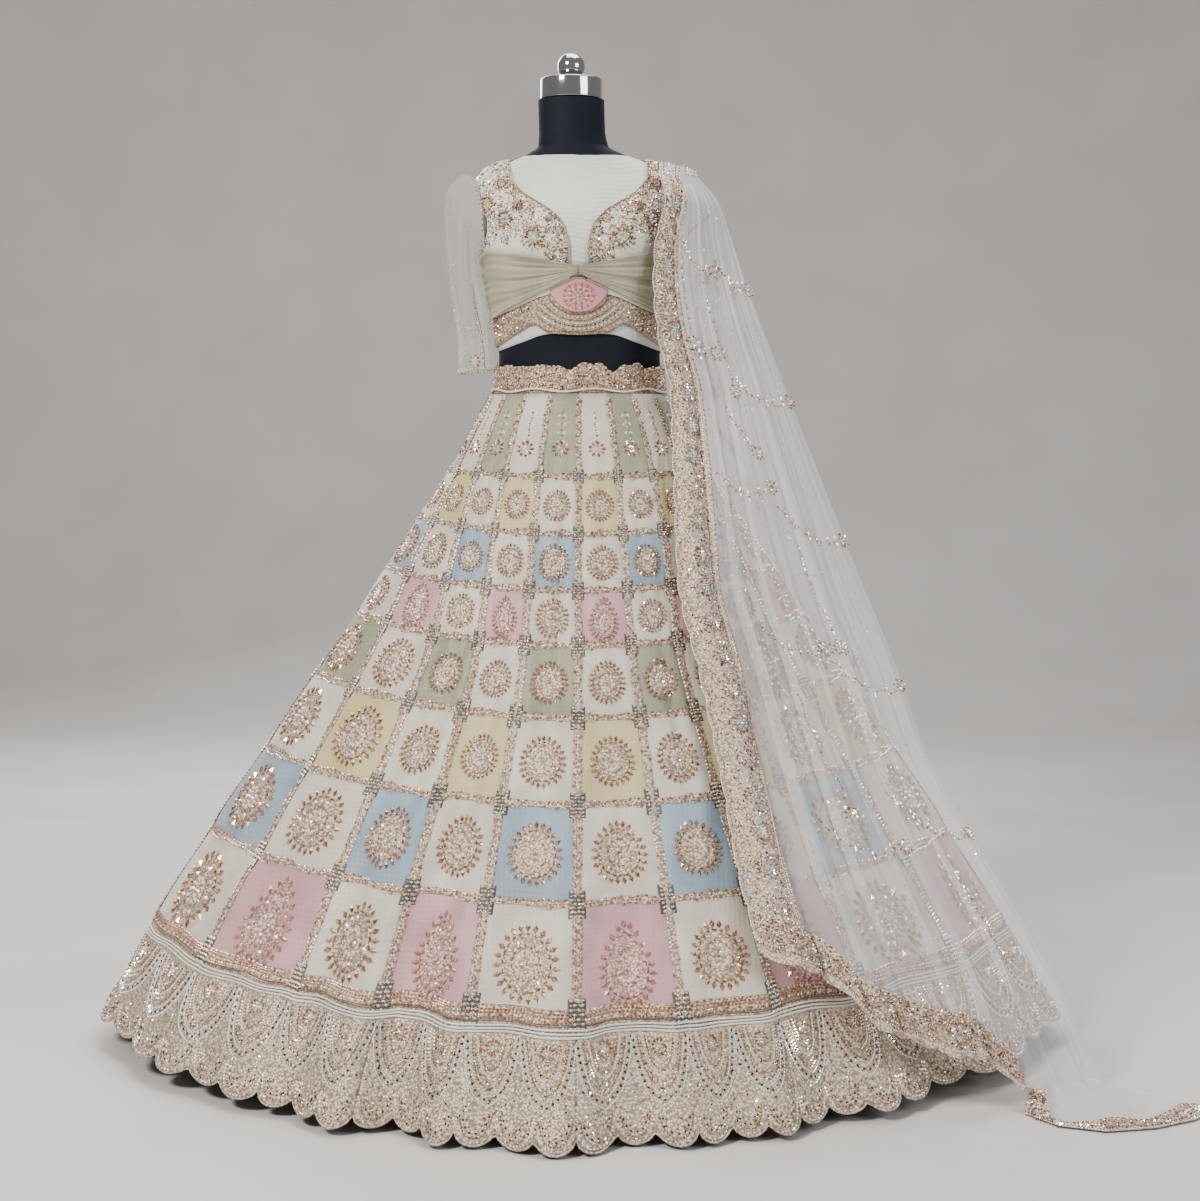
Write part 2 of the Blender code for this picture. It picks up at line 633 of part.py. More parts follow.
def band_point(gore, down):
    """The waistband, gathered along its top: down 0 at the top to 1 at the waist seam."""
    gore = np.asarray(gore, float)
    turn = gore * math.tau / GORES
    wave = np.cos(turn * RUFFLES)
    lift = smooth_step(1.0 - np.asarray(down, float))
    height = BAND_TOP - BAND_BOTTOM + RUFFLE_RISE * np.sin(turn * RUFFLES)
    place = form_point(turn, BAND_BOTTOM + height * (1.0 - down))
    return place + outward_of(place) * (RUFFLE_DEPTH * (1.0 + wave) * 0.5 * lift)[..., None]


def waist_piping_point(gore, level):
    """Where the waist piping's middle runs, just outside the band. level moves it down."""
    turn = np.asarray(gore, float) * math.tau / GORES
    place = form_point(turn, WAIST_PIPING_Z - 0.01 * np.asarray(level, float))
    return place + outward_of(place) * (BAND_OUT + CLOTH + SEAM_GAP + PIPING_RADIUS)


def border_cord_point(gore, level):
    place = skirt_point(gore, level)
    out = surface_normals(skirt_point, np.asarray(gore, float), np.asarray(level, float))
    return place + out * (CLOTH + SEAM_GAP + PIPING_RADIUS)


def make_skirt():
    for number in range(GORES):
        make_gore(number)
    for number in range(GORES // BORDER_GORES):
        make_border(number)
    gores = np.linspace(-GORES / 2, GORES / 2, RUFFLES * 6, endpoint=False)[None, :]
    levels = np.array([0.0, 0.45, 1.0])[:, None]
    across, down = np.broadcast_arrays(gores, levels)
    wall("skirt_waistband", band_point, across, down, BEADED_NET, BAND_OUT, CLOTH, closed=True)
    make_piping("skirt_waist_piping", waist_piping_point, 0.0, RUFFLES * 5)
    make_piping("skirt_border_cord", border_cord_point, BORDER_DOWN + BORDER_CORD_BELOW, GORES * 7)


# Blouse


def line_height(table, angle):
    degrees = np.degrees(np.abs(np.arctan2(np.sin(angle), np.cos(angle))))
    return curve_through(table, "degrees", "z", degrees)


def armhole_inset(z):
    """How far the armhole's edge lies from the side line, as an angle."""
    share = np.clip((z - ARMHOLE_BOTTOM) / (ARMHOLE_TOP - ARMHOLE_BOTTOM), 0.0, 1.0)
    return ARMHOLE_ANGLE * np.sin(math.pi * share) ** 0.7


def upper_heights(lowest):
    """Row heights from the shoulder down to the panel's bottom line."""
    return np.array([PANEL_TOP] + CHEST_ROWS + [lowest])


def make_front_panel(name, side):
    columns = 7
    heights = upper_heights(PANEL_BOTTOM[0].z)[:, None]
    shares = np.linspace(0.0, 1.0, columns + 1)[None, :]
    neck_x = curve_through(NECKLINE, "z", "x", heights)
    inner = form_angle(neck_x, heights)
    outer = math.pi / 2 - armhole_inset(heights) - SIDE_SEAM_ANGLE
    angle = inner + (outer - inner) * shares
    lowest = line_height(PANEL_BOTTOM, angle[-1:]) + SEAM_GAP
    share_down = (PANEL_TOP - heights) / (PANEL_TOP - heights[-1])
    z = heights + (lowest - heights[-1]) * share_down**3
    if side < 0:
        angle = angle[:, ::-1]
        z = z[:, ::-1]
    wall(name, form_point, side * angle, z, IVORY_NET, PANEL_OUT, CLOTH)


def make_back_panel(name, side):
    columns = 8
    shares = np.linspace(0.0, 1.0, columns + 1)[None, :]
    heights = upper_heights(PANEL_BOTTOM[-1].z)[:, None]
    neck_x = curve_through(BACK_NECKLINE, "z", "x", heights)
    neck_x = np.maximum(neck_x, BACK_SEAM_HALF)
    inner = math.pi - form_angle(neck_x, heights)
    outer = math.pi / 2 + armhole_inset(heights) + SIDE_SEAM_ANGLE
    angle = outer + (inner - outer) * shares
    lowest = line_height(PANEL_BOTTOM, angle[-1:]) + SEAM_GAP
    share_down = (PANEL_TOP - heights) / (PANEL_TOP - heights[-1])
    z = heights + (lowest - heights[-1]) * share_down**3
    if side < 0:
        angle = angle[:, ::-1]
        z = z[:, ::-1]
    wall(name, form_point, side * angle, z, IVORY_NET, PANEL_OUT, CLOTH)


def make_band(name, first, last, columns):
    """A length of the beaded hem band, between two angles."""
    angle = np.linspace(first, last, columns + 1)[None, :]
    top = line_height(PANEL_BOTTOM, angle)
    bottom = line_height(BAND_HEM, angle)
    z = top - BAND_SEAM + (bottom - top) * np.array([0.0, 0.5, 1.0])[:, None]
    angle = angle + 0.0 * z
    wall(name, form_point, angle, z, BEADED_NET, PANEL_OUT, CLOTH)


def make_lining_hem():
    angle = np.linspace(0.0, math.tau, 44, endpoint=False)[None, :]
    bottom = line_height(LINING_HEM, angle)
    z = LINING_TOP + (bottom - LINING_TOP) * np.array([0.0, 1.0])[:, None]
    angle = angle + 0.0 * z
    wall("choli_lining_hem", form_point, angle, z, LINING_WHITE, LINING_OUT, NET, closed=True)


def make_yoke():
    """The net that fills the front neckline. It runs on under the panels' edges."""
    heights = np.array([NECK_HEIGHTS[0], PANEL_TOP] + CHEST_ROWS + [WAIST_HEIGHTS[-1]])[:, None]
    neck_x = curve_through(NECKLINE, "z", "x", heights) + YOKE_UNDER
    reach = form_angle(neck_x, heights)
    reach = np.minimum(reach, YOKE_REACH)
    angle = reach * np.linspace(-1.0, 1.0, 13)[None, :]
    z = heights + 0.0 * angle
    wall("choli_yoke_net", form_point, angle, z, IVORY_NET, YOKE_OUT, NET)


def drape_line(angle, edge):
    """Height of the under-bust drape's upper or lower edge."""
    degrees = [row.degrees for row in DRAPE_EDGES]
    heights = [getattr(row, edge) for row in DRAPE_EDGES]
    return np.interp(np.degrees(np.abs(angle)), degrees, heights)


def drape_point(angle, z):
    """The net drape over the form, with its diagonal folds raised."""
    base = form_point(angle, z)
    low = drape_line(angle, "lower")
    high = drape_line(angle, "upper")
    share = (z - low) / (high - low)
    spread = smooth_step(np.abs(angle) / DRAPE_SMOOTH_MIDDLE)
    ridge = DRAPE_FOLD_DEPTH * spread * 0.5 * (1.0 + np.cos(math.tau * DRAPE_FOLDS * share))
    return base + outward_of(base) * ridge[..., None]


def make_drape(name, side):
    columns = 8
    rows = 9
    angle = np.linspace(*DRAPE_ENDS, columns + 1)[None, :]
    low = drape_line(angle, "lower")
    high = drape_line(angle, "upper")
    z = high + (low - high) * np.linspace(0.0, 1.0, rows + 1)[:, None]
    angle = angle + 0.0 * z
    if side < 0:
        angle = -angle[:, ::-1]
        z = z[:, ::-1]
    wall(name, drape_point, angle, z, IVORY_NET, DRAPE_OUT, CLOTH)


def make_gusset():
    """The pink fan under the drape's centre."""
    angle = np.linspace(-GUSSET_HALF, GUSSET_HALF, 11)[None, :]
    top = drape_line(angle, "lower") - GUSSET_SEAM
    rise = drape_line(GUSSET_HALF, "lower") - GUSSET_SIDE - GUSSET_BOTTOM
    bottom = GUSSET_BOTTOM + rise * (np.abs(angle) / GUSSET_HALF) ** GUSSET_CURVE
    z = top + (bottom - top) * np.linspace(0.0, 1.0, 4)[:, None]
    angle = angle + 0.0 * z
    wall("choli_gusset", form_point, angle, z, PINK_SILK, DRAPE_OUT, CLOTH)


def armhole_ring(turn):
    """The armhole's edge on the wearer's left: turn 0 at the shoulder, a quarter at the front."""
    middle = 0.5 * (ARMHOLE_TOP + ARMHOLE_BOTTOM)
    z = middle + 0.5 * (ARMHOLE_TOP - ARMHOLE_BOTTOM) * np.cos(turn)
    angle = math.pi / 2 - np.sign(np.sin(turn)) * armhole_inset(z)
    place = form_point(angle, z)
    return place + outward_of(place) * SLEEVE_SEAM_OUT


def make_sleeve(name, rings, side):
    """An open tube of net from the armhole through its rings, in soft folds. The rings are
    stated for the wearer's left and mirrored by side."""
    Station = namedtuple("Station", ("level",) + SleeveRing._fields)
    stations = [Station(level + 1.0, *ring) for level, ring in enumerate(rings)]

    def tube(turn, level):
        def read(column):
            return curve_through(stations, "level", column, level)

        tilt = np.radians(read("tilt"))
        wave = read("wave") * np.cos(SLEEVE_WAVES * turn)
        across = (read("half_across") + wave) * np.cos(turn)
        x = read("x") + across * np.cos(tilt)
        y = read("y") - (read("half_depth") + wave) * np.sin(turn)
        z = read("z") + across * np.sin(tilt)
        ring = np.stack(np.broadcast_arrays(x, y, z), axis=-1)
        share = np.minimum(np.asarray(level, float), 1.0)[..., None]
        head = armhole_ring(turn + 0.0 * level)
        return (head + (ring - head) * share) * np.array([side, 1.0, 1.0])

    turns = np.linspace(0.0, math.tau, SLEEVE_WAVES * 3, endpoint=False)[None, :]
    levels = np.arange(len(rings) + 1, dtype=float)[:, None]
    across, down = np.broadcast_arrays(turns, levels)
    wall(name, tube, across, down, IVORY_NET, 0.0, NET, closed=True)


def make_choli():
    make_front_panel("choli_front_left", 1)
    make_front_panel("choli_front_right", -1)
    make_back_panel("choli_back_left", 1)
    make_back_panel("choli_back_right", -1)
    side = math.pi / 2
    make_band("choli_band_front", -side + BAND_END_ANGLE, side - BAND_END_ANGLE, 20)
    make_band("choli_band_back", side + BAND_END_ANGLE, 3 * side - BAND_END_ANGLE, 18)
    make_lining_hem()
    make_yoke()
    make_drape("choli_drape_left", 1)
    make_drape("choli_drape_right", -1)
    make_gusset()
    make_sleeve("choli_sleeve_right", RIGHT_SLEEVE, -1)
    make_sleeve("choli_sleeve_left", LEFT_SLEEVE, 1)


# Veil


def fall_point(table, share, z, pleats, outward_sign):
    """A place on a fall: share 0 at the inner edge to 1 at the outer edge."""
    inner_x = curve_through(table, "z", "inner_x", z)
    inner_y = curve_through(table, "z", "inner_y", z)
    outer_x = curve_through(table, "z", "outer_x", z)
    outer_y = curve_through(table, "z", "outer_y", z)
    along = np.stack(np.broadcast_arrays(outer_x - inner_x, outer_y - inner_y, 0.0 * z), axis=-1)
    width = np.linalg.norm(along, axis=-1, keepdims=True)
    off = np.stack([along[..., 1], -along[..., 0], along[..., 2]], axis=-1) / width * outward_sign
    low = smooth_step((table[0].z - z) / table[0].z)
    bulge = BULGE_TOP + (BULGE_END - BULGE_TOP) * low
    pleat = PLEAT_DEPTH_TOP + (PLEAT_DEPTH_END - PLEAT_DEPTH_TOP) * low
    phase = math.tau * pleats * (share + 0.03 * np.sin(math.tau * share))
    uneven = 1.0 + 0.35 * np.sin(5.1 * share + 1.3)
    wave = 0.5 * (1.0 - np.cos(phase)) * pleat * uneven
    lift = bulge * np.sin(math.pi * share) + wave
    start = np.stack(np.broadcast_arrays(inner_x, inner_y, z), axis=-1)
    return start + along * np.asarray(share)[..., None] + off * lift[..., None]


def front_fall(share, z):
    return fall_point(FRONT_FALL, share, z, FRONT_PLEATS, 1.0)


def back_fall(share, z):
    return fall_point(BACK_FALL, share, z, BACK_PLEATS, -1.0)


def make_front_fall():
    columns = 21
    rows = 15
    shares = np.linspace(0.0, 1.0, columns + 1)[None, :]
    top = FRONT_FALL[0].z
    end = curve_through(FRONT_END, "across", "z", shares)
    down = np.linspace(0.0, 1.0, rows + 1)[:, None]
    z = top + (end - top) * down
    share = shares + 0.0 * z
    wall("dupatta_front", front_fall, share, z, VEIL_NET, 0.0, NET)


def make_back_fall():
    columns = 12
    rows = 8
    shares = np.linspace(1.0, 0.0, columns + 1)[None, :]
    top = BACK_FALL[0].z
    z = top + (BACK_END_Z - top) * np.linspace(0.0, 1.0, rows + 1)[:, None]
    share = shares + 0.0 * z
    wall("dupatta_back", back_fall, share, z, VEIL_NET, 0.0, NET)


def over_shoulder(share, turn):
    """The gathered stretch over the shoulder, from the front fall's top to the back fall's."""
    share = np.asarray(share, float)
    front = front_fall(share, FRONT_FALL[0].z + 0.0 * share)
    back = back_fall(share, BACK_FALL[0].z + 0.0 * share)
    turn = np.asarray(turn, float)[..., None]
    place = front + (back - front) * turn
    height = SHOULDER_ARCH_INNER + (SHOULDER_ARCH_OUTER - SHOULDER_ARCH_INNER) * share
    arch = height[..., None] * np.sin(math.pi * np.clip(turn, 0.0, 1.0))
    return place + arch * np.array([0.0, 0.0, 1.0])


def make_shoulder():
    shares = np.linspace(0.0, 1.0, 13)[None, :]
    turns = np.linspace(0.9975, 0.0025, 9)[:, None]
    share, turn = np.broadcast_arrays(shares, turns)
    wall("dupatta_shoulder", over_shoulder, share, turn, VEIL_NET, 0.0, NET)


def floor_end(share, out):
    """The end that lies on the floor: out 0 at the fall's lower edge to 1 at the free edge."""
    share = np.asarray(share, float)
    out = np.asarray(out, float)
    across = TAIL_START + (1.0 - TAIL_START) * share
    end = curve_through(FRONT_END, "across", "z", across)
    hung = front_fall(across, end)
    stations = np.linspace(0.0, 1.0, len(TAIL_FREE))
    free_x = np.interp(share, stations, [station.free_x for station in TAIL_FREE])
    free_y = np.interp(share, stations, [station.free_y for station in TAIL_FREE])
    x = hung[..., 0] + (free_x - hung[..., 0]) * out
    y = hung[..., 1] + (free_y - hung[..., 1]) * out
    settle = (1.0 - np.clip(out / 0.35, 0.0, 1.0)) ** 2
    swell = 0.006 * np.sin(math.pi * out) * (1.0 + np.sin(math.tau * 2.5 * share + 0.6))
    z = TAIL_Z + (hung[..., 2] - TAIL_Z) * settle + swell
    return np.stack(np.broadcast_arrays(x, y, z), axis=-1)


def make_tail():
    shares = np.linspace(0.0, 1.0, 15)[None, :]
    outs = np.array([0.012, 0.18, 0.36, 0.60, 0.82, 1.0])[:, None]
    share, out = np.broadcast_arrays(shares, outs)
    wall("dupatta_tail", floor_end, share, out, VEIL_NET, 0.0, NET)


def make_veil():
    make_front_fall()
    make_back_fall()
    make_shoulder()
    make_tail()


for old in list(bpy.data.objects):
    bpy.data.objects.remove(old, do_unlink=True)
PARTS = body_collection()
make_dress_form()
make_skirt()
make_choli()
make_veil()
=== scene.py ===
"""Looks of a lehenga choli on a limbless dress form: silk patchwork gores, beaded net border,
net blouse, sheer veil, and the beadwork that lies on them.

Metres, +Z up, the front faces -Y. "right" and "left" are the wearer's own, so right is -X.
The surface functions and their tables are those of the construction's own source.
"""

import math
from collections import namedtuple

import bpy
import numpy as np
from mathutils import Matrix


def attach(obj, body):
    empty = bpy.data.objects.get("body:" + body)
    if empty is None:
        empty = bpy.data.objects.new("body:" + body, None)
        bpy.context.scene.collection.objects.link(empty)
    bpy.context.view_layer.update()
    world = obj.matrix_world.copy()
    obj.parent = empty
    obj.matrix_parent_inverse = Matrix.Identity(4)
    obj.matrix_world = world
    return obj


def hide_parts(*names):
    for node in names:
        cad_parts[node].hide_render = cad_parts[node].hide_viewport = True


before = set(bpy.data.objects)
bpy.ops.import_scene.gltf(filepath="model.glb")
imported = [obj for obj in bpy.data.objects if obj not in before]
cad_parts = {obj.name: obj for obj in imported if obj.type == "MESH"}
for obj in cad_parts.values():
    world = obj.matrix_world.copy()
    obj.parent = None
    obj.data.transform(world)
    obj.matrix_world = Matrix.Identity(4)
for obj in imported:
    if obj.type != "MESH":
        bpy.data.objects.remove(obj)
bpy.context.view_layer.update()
rng = np.random.default_rng(7)

SEAM_GAP = 0.0003
CLOTH = 0.0015
NET = 0.0010

# Dress form

FormSection = namedtuple("FormSection", "z half_width front back centre_x")
FORM_SECTIONS = [
    FormSection(0.800, 0.150, 0.108, 0.112, 0.000),
    FormSection(0.860, 0.154, 0.112, 0.120, 0.000),
    FormSection(0.920, 0.146, 0.105, 0.112, 0.000),
    FormSection(0.985, 0.1295, 0.0935, 0.096, 0.000),
    FormSection(1.040, 0.1210, 0.0880, 0.082, 0.000),
    FormSection(1.090, 0.1250, 0.0920, 0.084, 0.000),
    FormSection(1.140, 0.1320, 0.1000, 0.088, 0.000),
    FormSection(1.200, 0.1410, 0.1160, 0.092, 0.000),
    FormSection(1.245, 0.1450, 0.1040, 0.091, 0.000),
    FormSection(1.280, 0.1480, 0.0800, 0.082, 0.000),
    FormSection(1.300, 0.1500, 0.0640, 0.070, 0.000),
    FormSection(1.316, 0.1400, 0.0540, 0.060, -0.001),
    FormSection(1.330, 0.1080, 0.0490, 0.054, -0.003),
    FormSection(1.342, 0.0730, 0.0480, 0.051, -0.006),
    FormSection(1.354, 0.0530, 0.0480, 0.049, -0.009),
    FormSection(1.380, 0.0495, 0.0480, 0.048, -0.011),
    FormSection(1.422, 0.0495, 0.0480, 0.048, -0.012),
]
BUST_PEAK = 0.006
BUST_ANGLE = math.radians(34)
BUST_SPREAD = math.radians(19)
BUST_Z = 1.200
BUST_RISE = 0.036
NECK_X = -0.012
CAP_RADIUS = 0.046
CAP_Z = 1.4223
FINIAL_Z = 1.4543
FINIAL_RADIUS = 0.0205
FINIAL_STEM = 0.0172
FINIAL_STEM_RADIUS = 0.014

# Skirt: the cut's rows, from the waist seam (down = 0) to the hem (down = 1)

GORES = 20
SkirtRow = namedtuple("SkirtRow", "down side_x side_z front_y front_z")
SKIRT_ROWS = [
    SkirtRow(0.0000, 0.1325, 0.985, 0.0975, 0.985),
    SkirtRow(0.1210, 0.1960, 0.871, 0.1500, 0.865),
    SkirtRow(0.1940, 0.2410, 0.802, 0.1780, 0.783),
    SkirtRow(0.2724, 0.2920, 0.727, 0.2050, 0.704),
    SkirtRow(0.3446, 0.3370, 0.659, 0.2350, 0.628),
    SkirtRow(0.4386, 0.4000, 0.569, 0.2720, 0.530),
    SkirtRow(0.5587, 0.4760, 0.455, 0.3320, 0.418),
    SkirtRow(0.6919, 0.5600, 0.329, 0.4020, 0.296),
    SkirtRow(0.8460, 0.6520, 0.182, 0.4820, 0.152),
    SkirtRow(1.0000, 0.7340, 0.039, 0.5540, 0.004),
]
BORDER_DOWN = 0.846
# Patchwork rows, between which the block colours change
ROW_EDGES = [row.down for row in SKIRT_ROWS if row.down <= BORDER_DOWN]
WAIST_ROUNDNESS = 2.0
HEM_ROUNDNESS = 1.66
HEM_SEAMS = [0.0, 0.220, 0.410, 0.605, 0.830, 1.0]
SEAMS_SETTLE = 0.40
Fold = namedtuple("Fold", "gore depth breadth start")
SKIRT_FOLDS = [
    Fold(-9.30, 0.020, 0.34, 0.40),
    Fold(-8.35, 0.030, 0.36, 0.28),
    Fold(-7.40, 0.018, 0.32, 0.45),
    Fold(-6.45, 0.024, 0.36, 0.35),
    Fold(-5.50, 0.014, 0.34, 0.50),
    Fold(-4.45, 0.015, 0.34, 0.48),
    Fold(-3.50, 0.014, 0.32, 0.50),
    Fold(-2.70, 0.020, 0.32, 0.40),
    Fold(-1.60, 0.036, 0.34, 0.22),
    Fold(-0.72, 0.018, 0.28, 0.45),
    Fold(0.53, 0.032, 0.34, 0.28),
    Fold(1.35, 0.018, 0.30, 0.42),
    Fold(2.35, 0.024, 0.34, 0.36),
    Fold(3.45, 0.018, 0.34, 0.42),
    Fold(4.50, 0.014, 0.34, 0.50),
    Fold(5.55, 0.018, 0.36, 0.42),
    Fold(6.50, 0.026, 0.36, 0.32),
    Fold(7.50, 0.018, 0.32, 0.44),
    Fold(8.45, 0.030, 0.36, 0.30),
    Fold(9.45, 0.020, 0.34, 0.38),
]
SCALLOPS_PER_GORE = 3
SCALLOP_RISE = 0.017
BORDER_GORES = 2
BORDER_SEAM = 0.0008
PANEL_GAP = 0.001
SEAM_PUCKER = 0.0016
ROW_PUCKER = 0.0014
RIPPLE = 0.0013

# Soft creases laid over the largest folds, as uneven as they hang
Crease = namedtuple("Crease", "gore lean start end depth breadth")
CREASES = [
    Crease(-9.6, 0.2, 0.30, 0.90, 0.004, 0.10),
    Crease(-8.9, -0.1, 0.12, 0.62, 0.003, 0.09),
    Crease(-7.9, 0.3, 0.45, 1.10, 0.005, 0.11),
    Crease(-6.9, -0.2, 0.20, 0.80, 0.003, 0.10),
    Crease(-5.9, 0.1, 0.50, 1.10, 0.004, 0.12),
    Crease(-5.1, 0.2, 0.10, 0.55, 0.003, 0.08),
    Crease(-4.0, -0.3, 0.35, 1.00, 0.005, 0.12),
    Crease(-3.2, 0.2, 0.55, 1.10, 0.005, 0.10),
    Crease(-2.2, -0.2, 0.18, 0.70, 0.004, 0.09),
    Crease(-1.95, 0.15, 0.60, 1.10, 0.006, 0.12),
    Crease(-1.2, 0.1, 0.35, 0.85, 0.004, 0.10),
    Crease(-0.35, -0.1, 0.10, 0.48, 0.003, 0.08),
    Crease(0.15, 0.2, 0.62, 1.10, 0.005, 0.12),
    Crease(0.95, 0.1, 0.30, 1.10, 0.006, 0.11),
    Crease(1.75, -0.2, 0.15, 0.66, 0.004, 0.10),
    Crease(2.8, 0.3, 0.48, 1.10, 0.005, 0.12),
    Crease(3.9, -0.1, 0.22, 0.75, 0.003, 0.10),
    Crease(4.9, 0.2, 0.52, 1.10, 0.004, 0.11),
    Crease(5.9, -0.2, 0.30, 1.00, 0.004, 0.12),
    Crease(6.9, 0.1, 0.12, 0.60, 0.003, 0.09),
    Crease(7.9, 0.3, 0.55, 1.10, 0.005, 0.12),
    Crease(8.9, -0.2, 0.25, 0.95, 0.004, 0.10),
    Crease(9.8, 0.1, 0.45, 1.05, 0.004, 0.11),
]

# Waistband

BAND_BOTTOM = 0.9854
BAND_TOP = 1.0260
RUFFLES = 11
RUFFLE_DEPTH = 0.0035
RUFFLE_RISE = 0.0080
PIPING_RADIUS = 0.0022
BAND_OUT = 0.0005
WAIST_PIPING_Z = 0.9905

# Blouse layers, measured outward from the dress form

LINING_OUT = 0.0008
LAYER_GAP = 0.0012
PANEL_OUT = LINING_OUT + NET + LAYER_GAP
DRAPE_OUT = PANEL_OUT + CLOTH + 1.6 * LAYER_GAP
YOKE_OUT = LINING_OUT + 0.0001
YOKE_REACH = math.radians(58)
YOKE_UNDER = 0.006
NecklinePoint = namedtuple("NecklinePoint", "z x")
NECKLINE = [
    NecklinePoint(1.160, 0.012),
    NecklinePoint(1.195, 0.012),
    NecklinePoint(1.225, 0.019),
    NecklinePoint(1.247, 0.036),
    NecklinePoint(1.264, 0.062),
    NecklinePoint(1.284, 0.086),
    NecklinePoint(1.304, 0.097),
    NecklinePoint(1.330, 0.0975),
]
BACK_NECKLINE = [
    NecklinePoint(1.285, 0.000),
    NecklinePoint(1.292, 0.045),
    NecklinePoint(1.304, 0.076),
    NecklinePoint(1.330, 0.0975),
]
BACK_SEAM_HALF = 0.0006
SIDE_SEAM_ANGLE = 0.002
BAND_END_ANGLE = 0.0012
ARMHOLE_BOTTOM = 1.185
ARMHOLE_TOP = 1.307
ARMHOLE_ANGLE = math.radians(24)
PANEL_TOP = 1.3285
YOKE_TOP = 1.336
YOKE_BOTTOM = 1.150
LineHeight = namedtuple("LineHeight", "degrees z")
PANEL_BOTTOM = [
    LineHeight(0, 1.140),
    LineHeight(25, 1.126),
    LineHeight(50, 1.108),
    LineHeight(90, 1.096),
    LineHeight(135, 1.096),
    LineHeight(180, 1.096),
]
BAND_HEM = [
    LineHeight(0, 1.0715),
    LineHeight(20, 1.0745),
    LineHeight(31, 1.0870),
    LineHeight(45, 1.0760),
    LineHeight(70, 1.0600),
    LineHeight(90, 1.0560),
    LineHeight(180, 1.0600),
]
LINING_HEM = [
    LineHeight(0, 1.0735),
    LineHeight(20, 1.0725),
    LineHeight(45, 1.0600),
    LineHeight(70, 1.0510),
    LineHeight(90, 1.0490),
    LineHeight(180, 1.0530),
]
LINING_TOP = 1.112
BAND_SEAM = 0.0006
DrapeEdge = namedtuple("DrapeEdge", "degrees upper lower")
DRAPE_EDGES = [
    DrapeEdge(2, 1.1700, 1.1575),
    DrapeEdge(20, 1.1790, 1.1365),
    DrapeEdge(40, 1.1880, 1.1180),
    DrapeEdge(62, 1.1960, 1.1010),
    DrapeEdge(66, 1.1950, 1.0993),
    DrapeEdge(88, 1.1800, 1.0900),
]
DRAPE_END = math.radians(86.0)
DRAPE_FOLDS = 3
DRAPE_FOLD_DEPTH = 0.0028
DRAPE_CREASE = 0.0027
FINE_PER_FOLD = 2.7
BROKEN_PER_FOLD = 1.45
DRAPE_SMOOTH_MIDDLE = math.radians(50)
GUSSET_HALF = math.radians(18)
GUSSET_BOTTOM = 1.1040
GUSSET_SEAM = 0.0018
GUSSET_SIDE = 0.0066
GUSSET_CURVE = 2.4
SleeveRing = namedtuple("SleeveRing", "x y z half_across half_depth tilt wave")
RIGHT_SLEEVE = [
    SleeveRing(0.1620, 0.000, 1.2500, 0.0640, 0.0500, 80, 0.0006),
    SleeveRing(0.1740, -0.003, 1.2430, 0.0500, 0.0540, 64, 0.0016),
    SleeveRing(0.1740, -0.006, 1.2150, 0.0290, 0.0560, 30, 0.0022),
    SleeveRing(0.1725, -0.008, 1.1700, 0.0230, 0.0560, 6, 0.0028),
    SleeveRing(0.1655, -0.010, 1.1250, 0.0235, 0.0540, 0, 0.0032),
    SleeveRing(0.1610, -0.013, 1.0900, 0.0220, 0.0480, 0, 0.0034),
    SleeveRing(0.1590, -0.016, 1.0650, 0.0205, 0.0400, 0, 0.0030),
    SleeveRing(0.1580, -0.020, 1.0400, 0.0220, 0.0420, 0, 0.0034),
    SleeveRing(0.1575, -0.024, 1.0170, 0.0225, 0.0400, -8, 0.0034),
]
LEFT_SLEEVE = [
    SleeveRing(0.1560, 0.002, 1.2470, 0.0550, 0.0430, 80, 0.0006),
    SleeveRing(0.1690, 0.004, 1.2430, 0.0410, 0.0360, 62, 0.0010),
    SleeveRing(0.1730, 0.006, 1.2350, 0.0260, 0.0310, 36, 0.0014),
]
SLEEVE_SEAM_OUT = PANEL_OUT + CLOTH + 0.0008
SLEEVE_WAVES = 7
SOFT_FOLDS = 0.45

# Veil

VeilRow = namedtuple("VeilRow", "z inner_x inner_y outer_x outer_y")
FRONT_FALL = [
    VeilRow(1.305, 0.1180, -0.062, 0.1760, -0.024),
    VeilRow(1.270, 0.1260, -0.088, 0.2060, -0.026),
    VeilRow(1.200, 0.1120, -0.104, 0.2320, -0.024),
    VeilRow(1.150, 0.1100, -0.104, 0.2480, -0.028),
    VeilRow(1.070, 0.1180, -0.100, 0.2780, -0.034),
    VeilRow(0.985, 0.1360, -0.104, 0.3100, -0.042),
    VeilRow(0.850, 0.1400, -0.148, 0.3620, -0.060),
    VeilRow(0.720, 0.1440, -0.202, 0.4120, -0.080),
    VeilRow(0.590, 0.1730, -0.252, 0.4640, -0.110),
    VeilRow(0.460, 0.1990, -0.310, 0.5080, -0.140),
    VeilRow(0.330, 0.2210, -0.382, 0.5790, -0.172),
    VeilRow(0.220, 0.2520, -0.436, 0.6430, -0.202),
    VeilRow(0.110, 0.2800, -0.480, 0.7030, -0.228),
    VeilRow(0.000, 0.3100, -0.520, 0.7480, -0.252),
]
BACK_FALL = [
    VeilRow(1.305, 0.1200, 0.074, 0.1740, 0.030),
    VeilRow(1.200, 0.1180, 0.112, 0.2150, 0.045),
    VeilRow(1.100, 0.1160, 0.116, 0.2450, 0.055),
    VeilRow(0.985, 0.1260, 0.130, 0.2800, 0.070),
    VeilRow(0.850, 0.1400, 0.172, 0.3320, 0.098),
    VeilRow(0.700, 0.1560, 0.238, 0.3900, 0.130),
    VeilRow(0.560, 0.1740, 0.302, 0.4440, 0.166),
    VeilRow(0.420, 0.1930, 0.366, 0.4960, 0.200),
]
FallEnd = namedtuple("FallEnd", "across z")
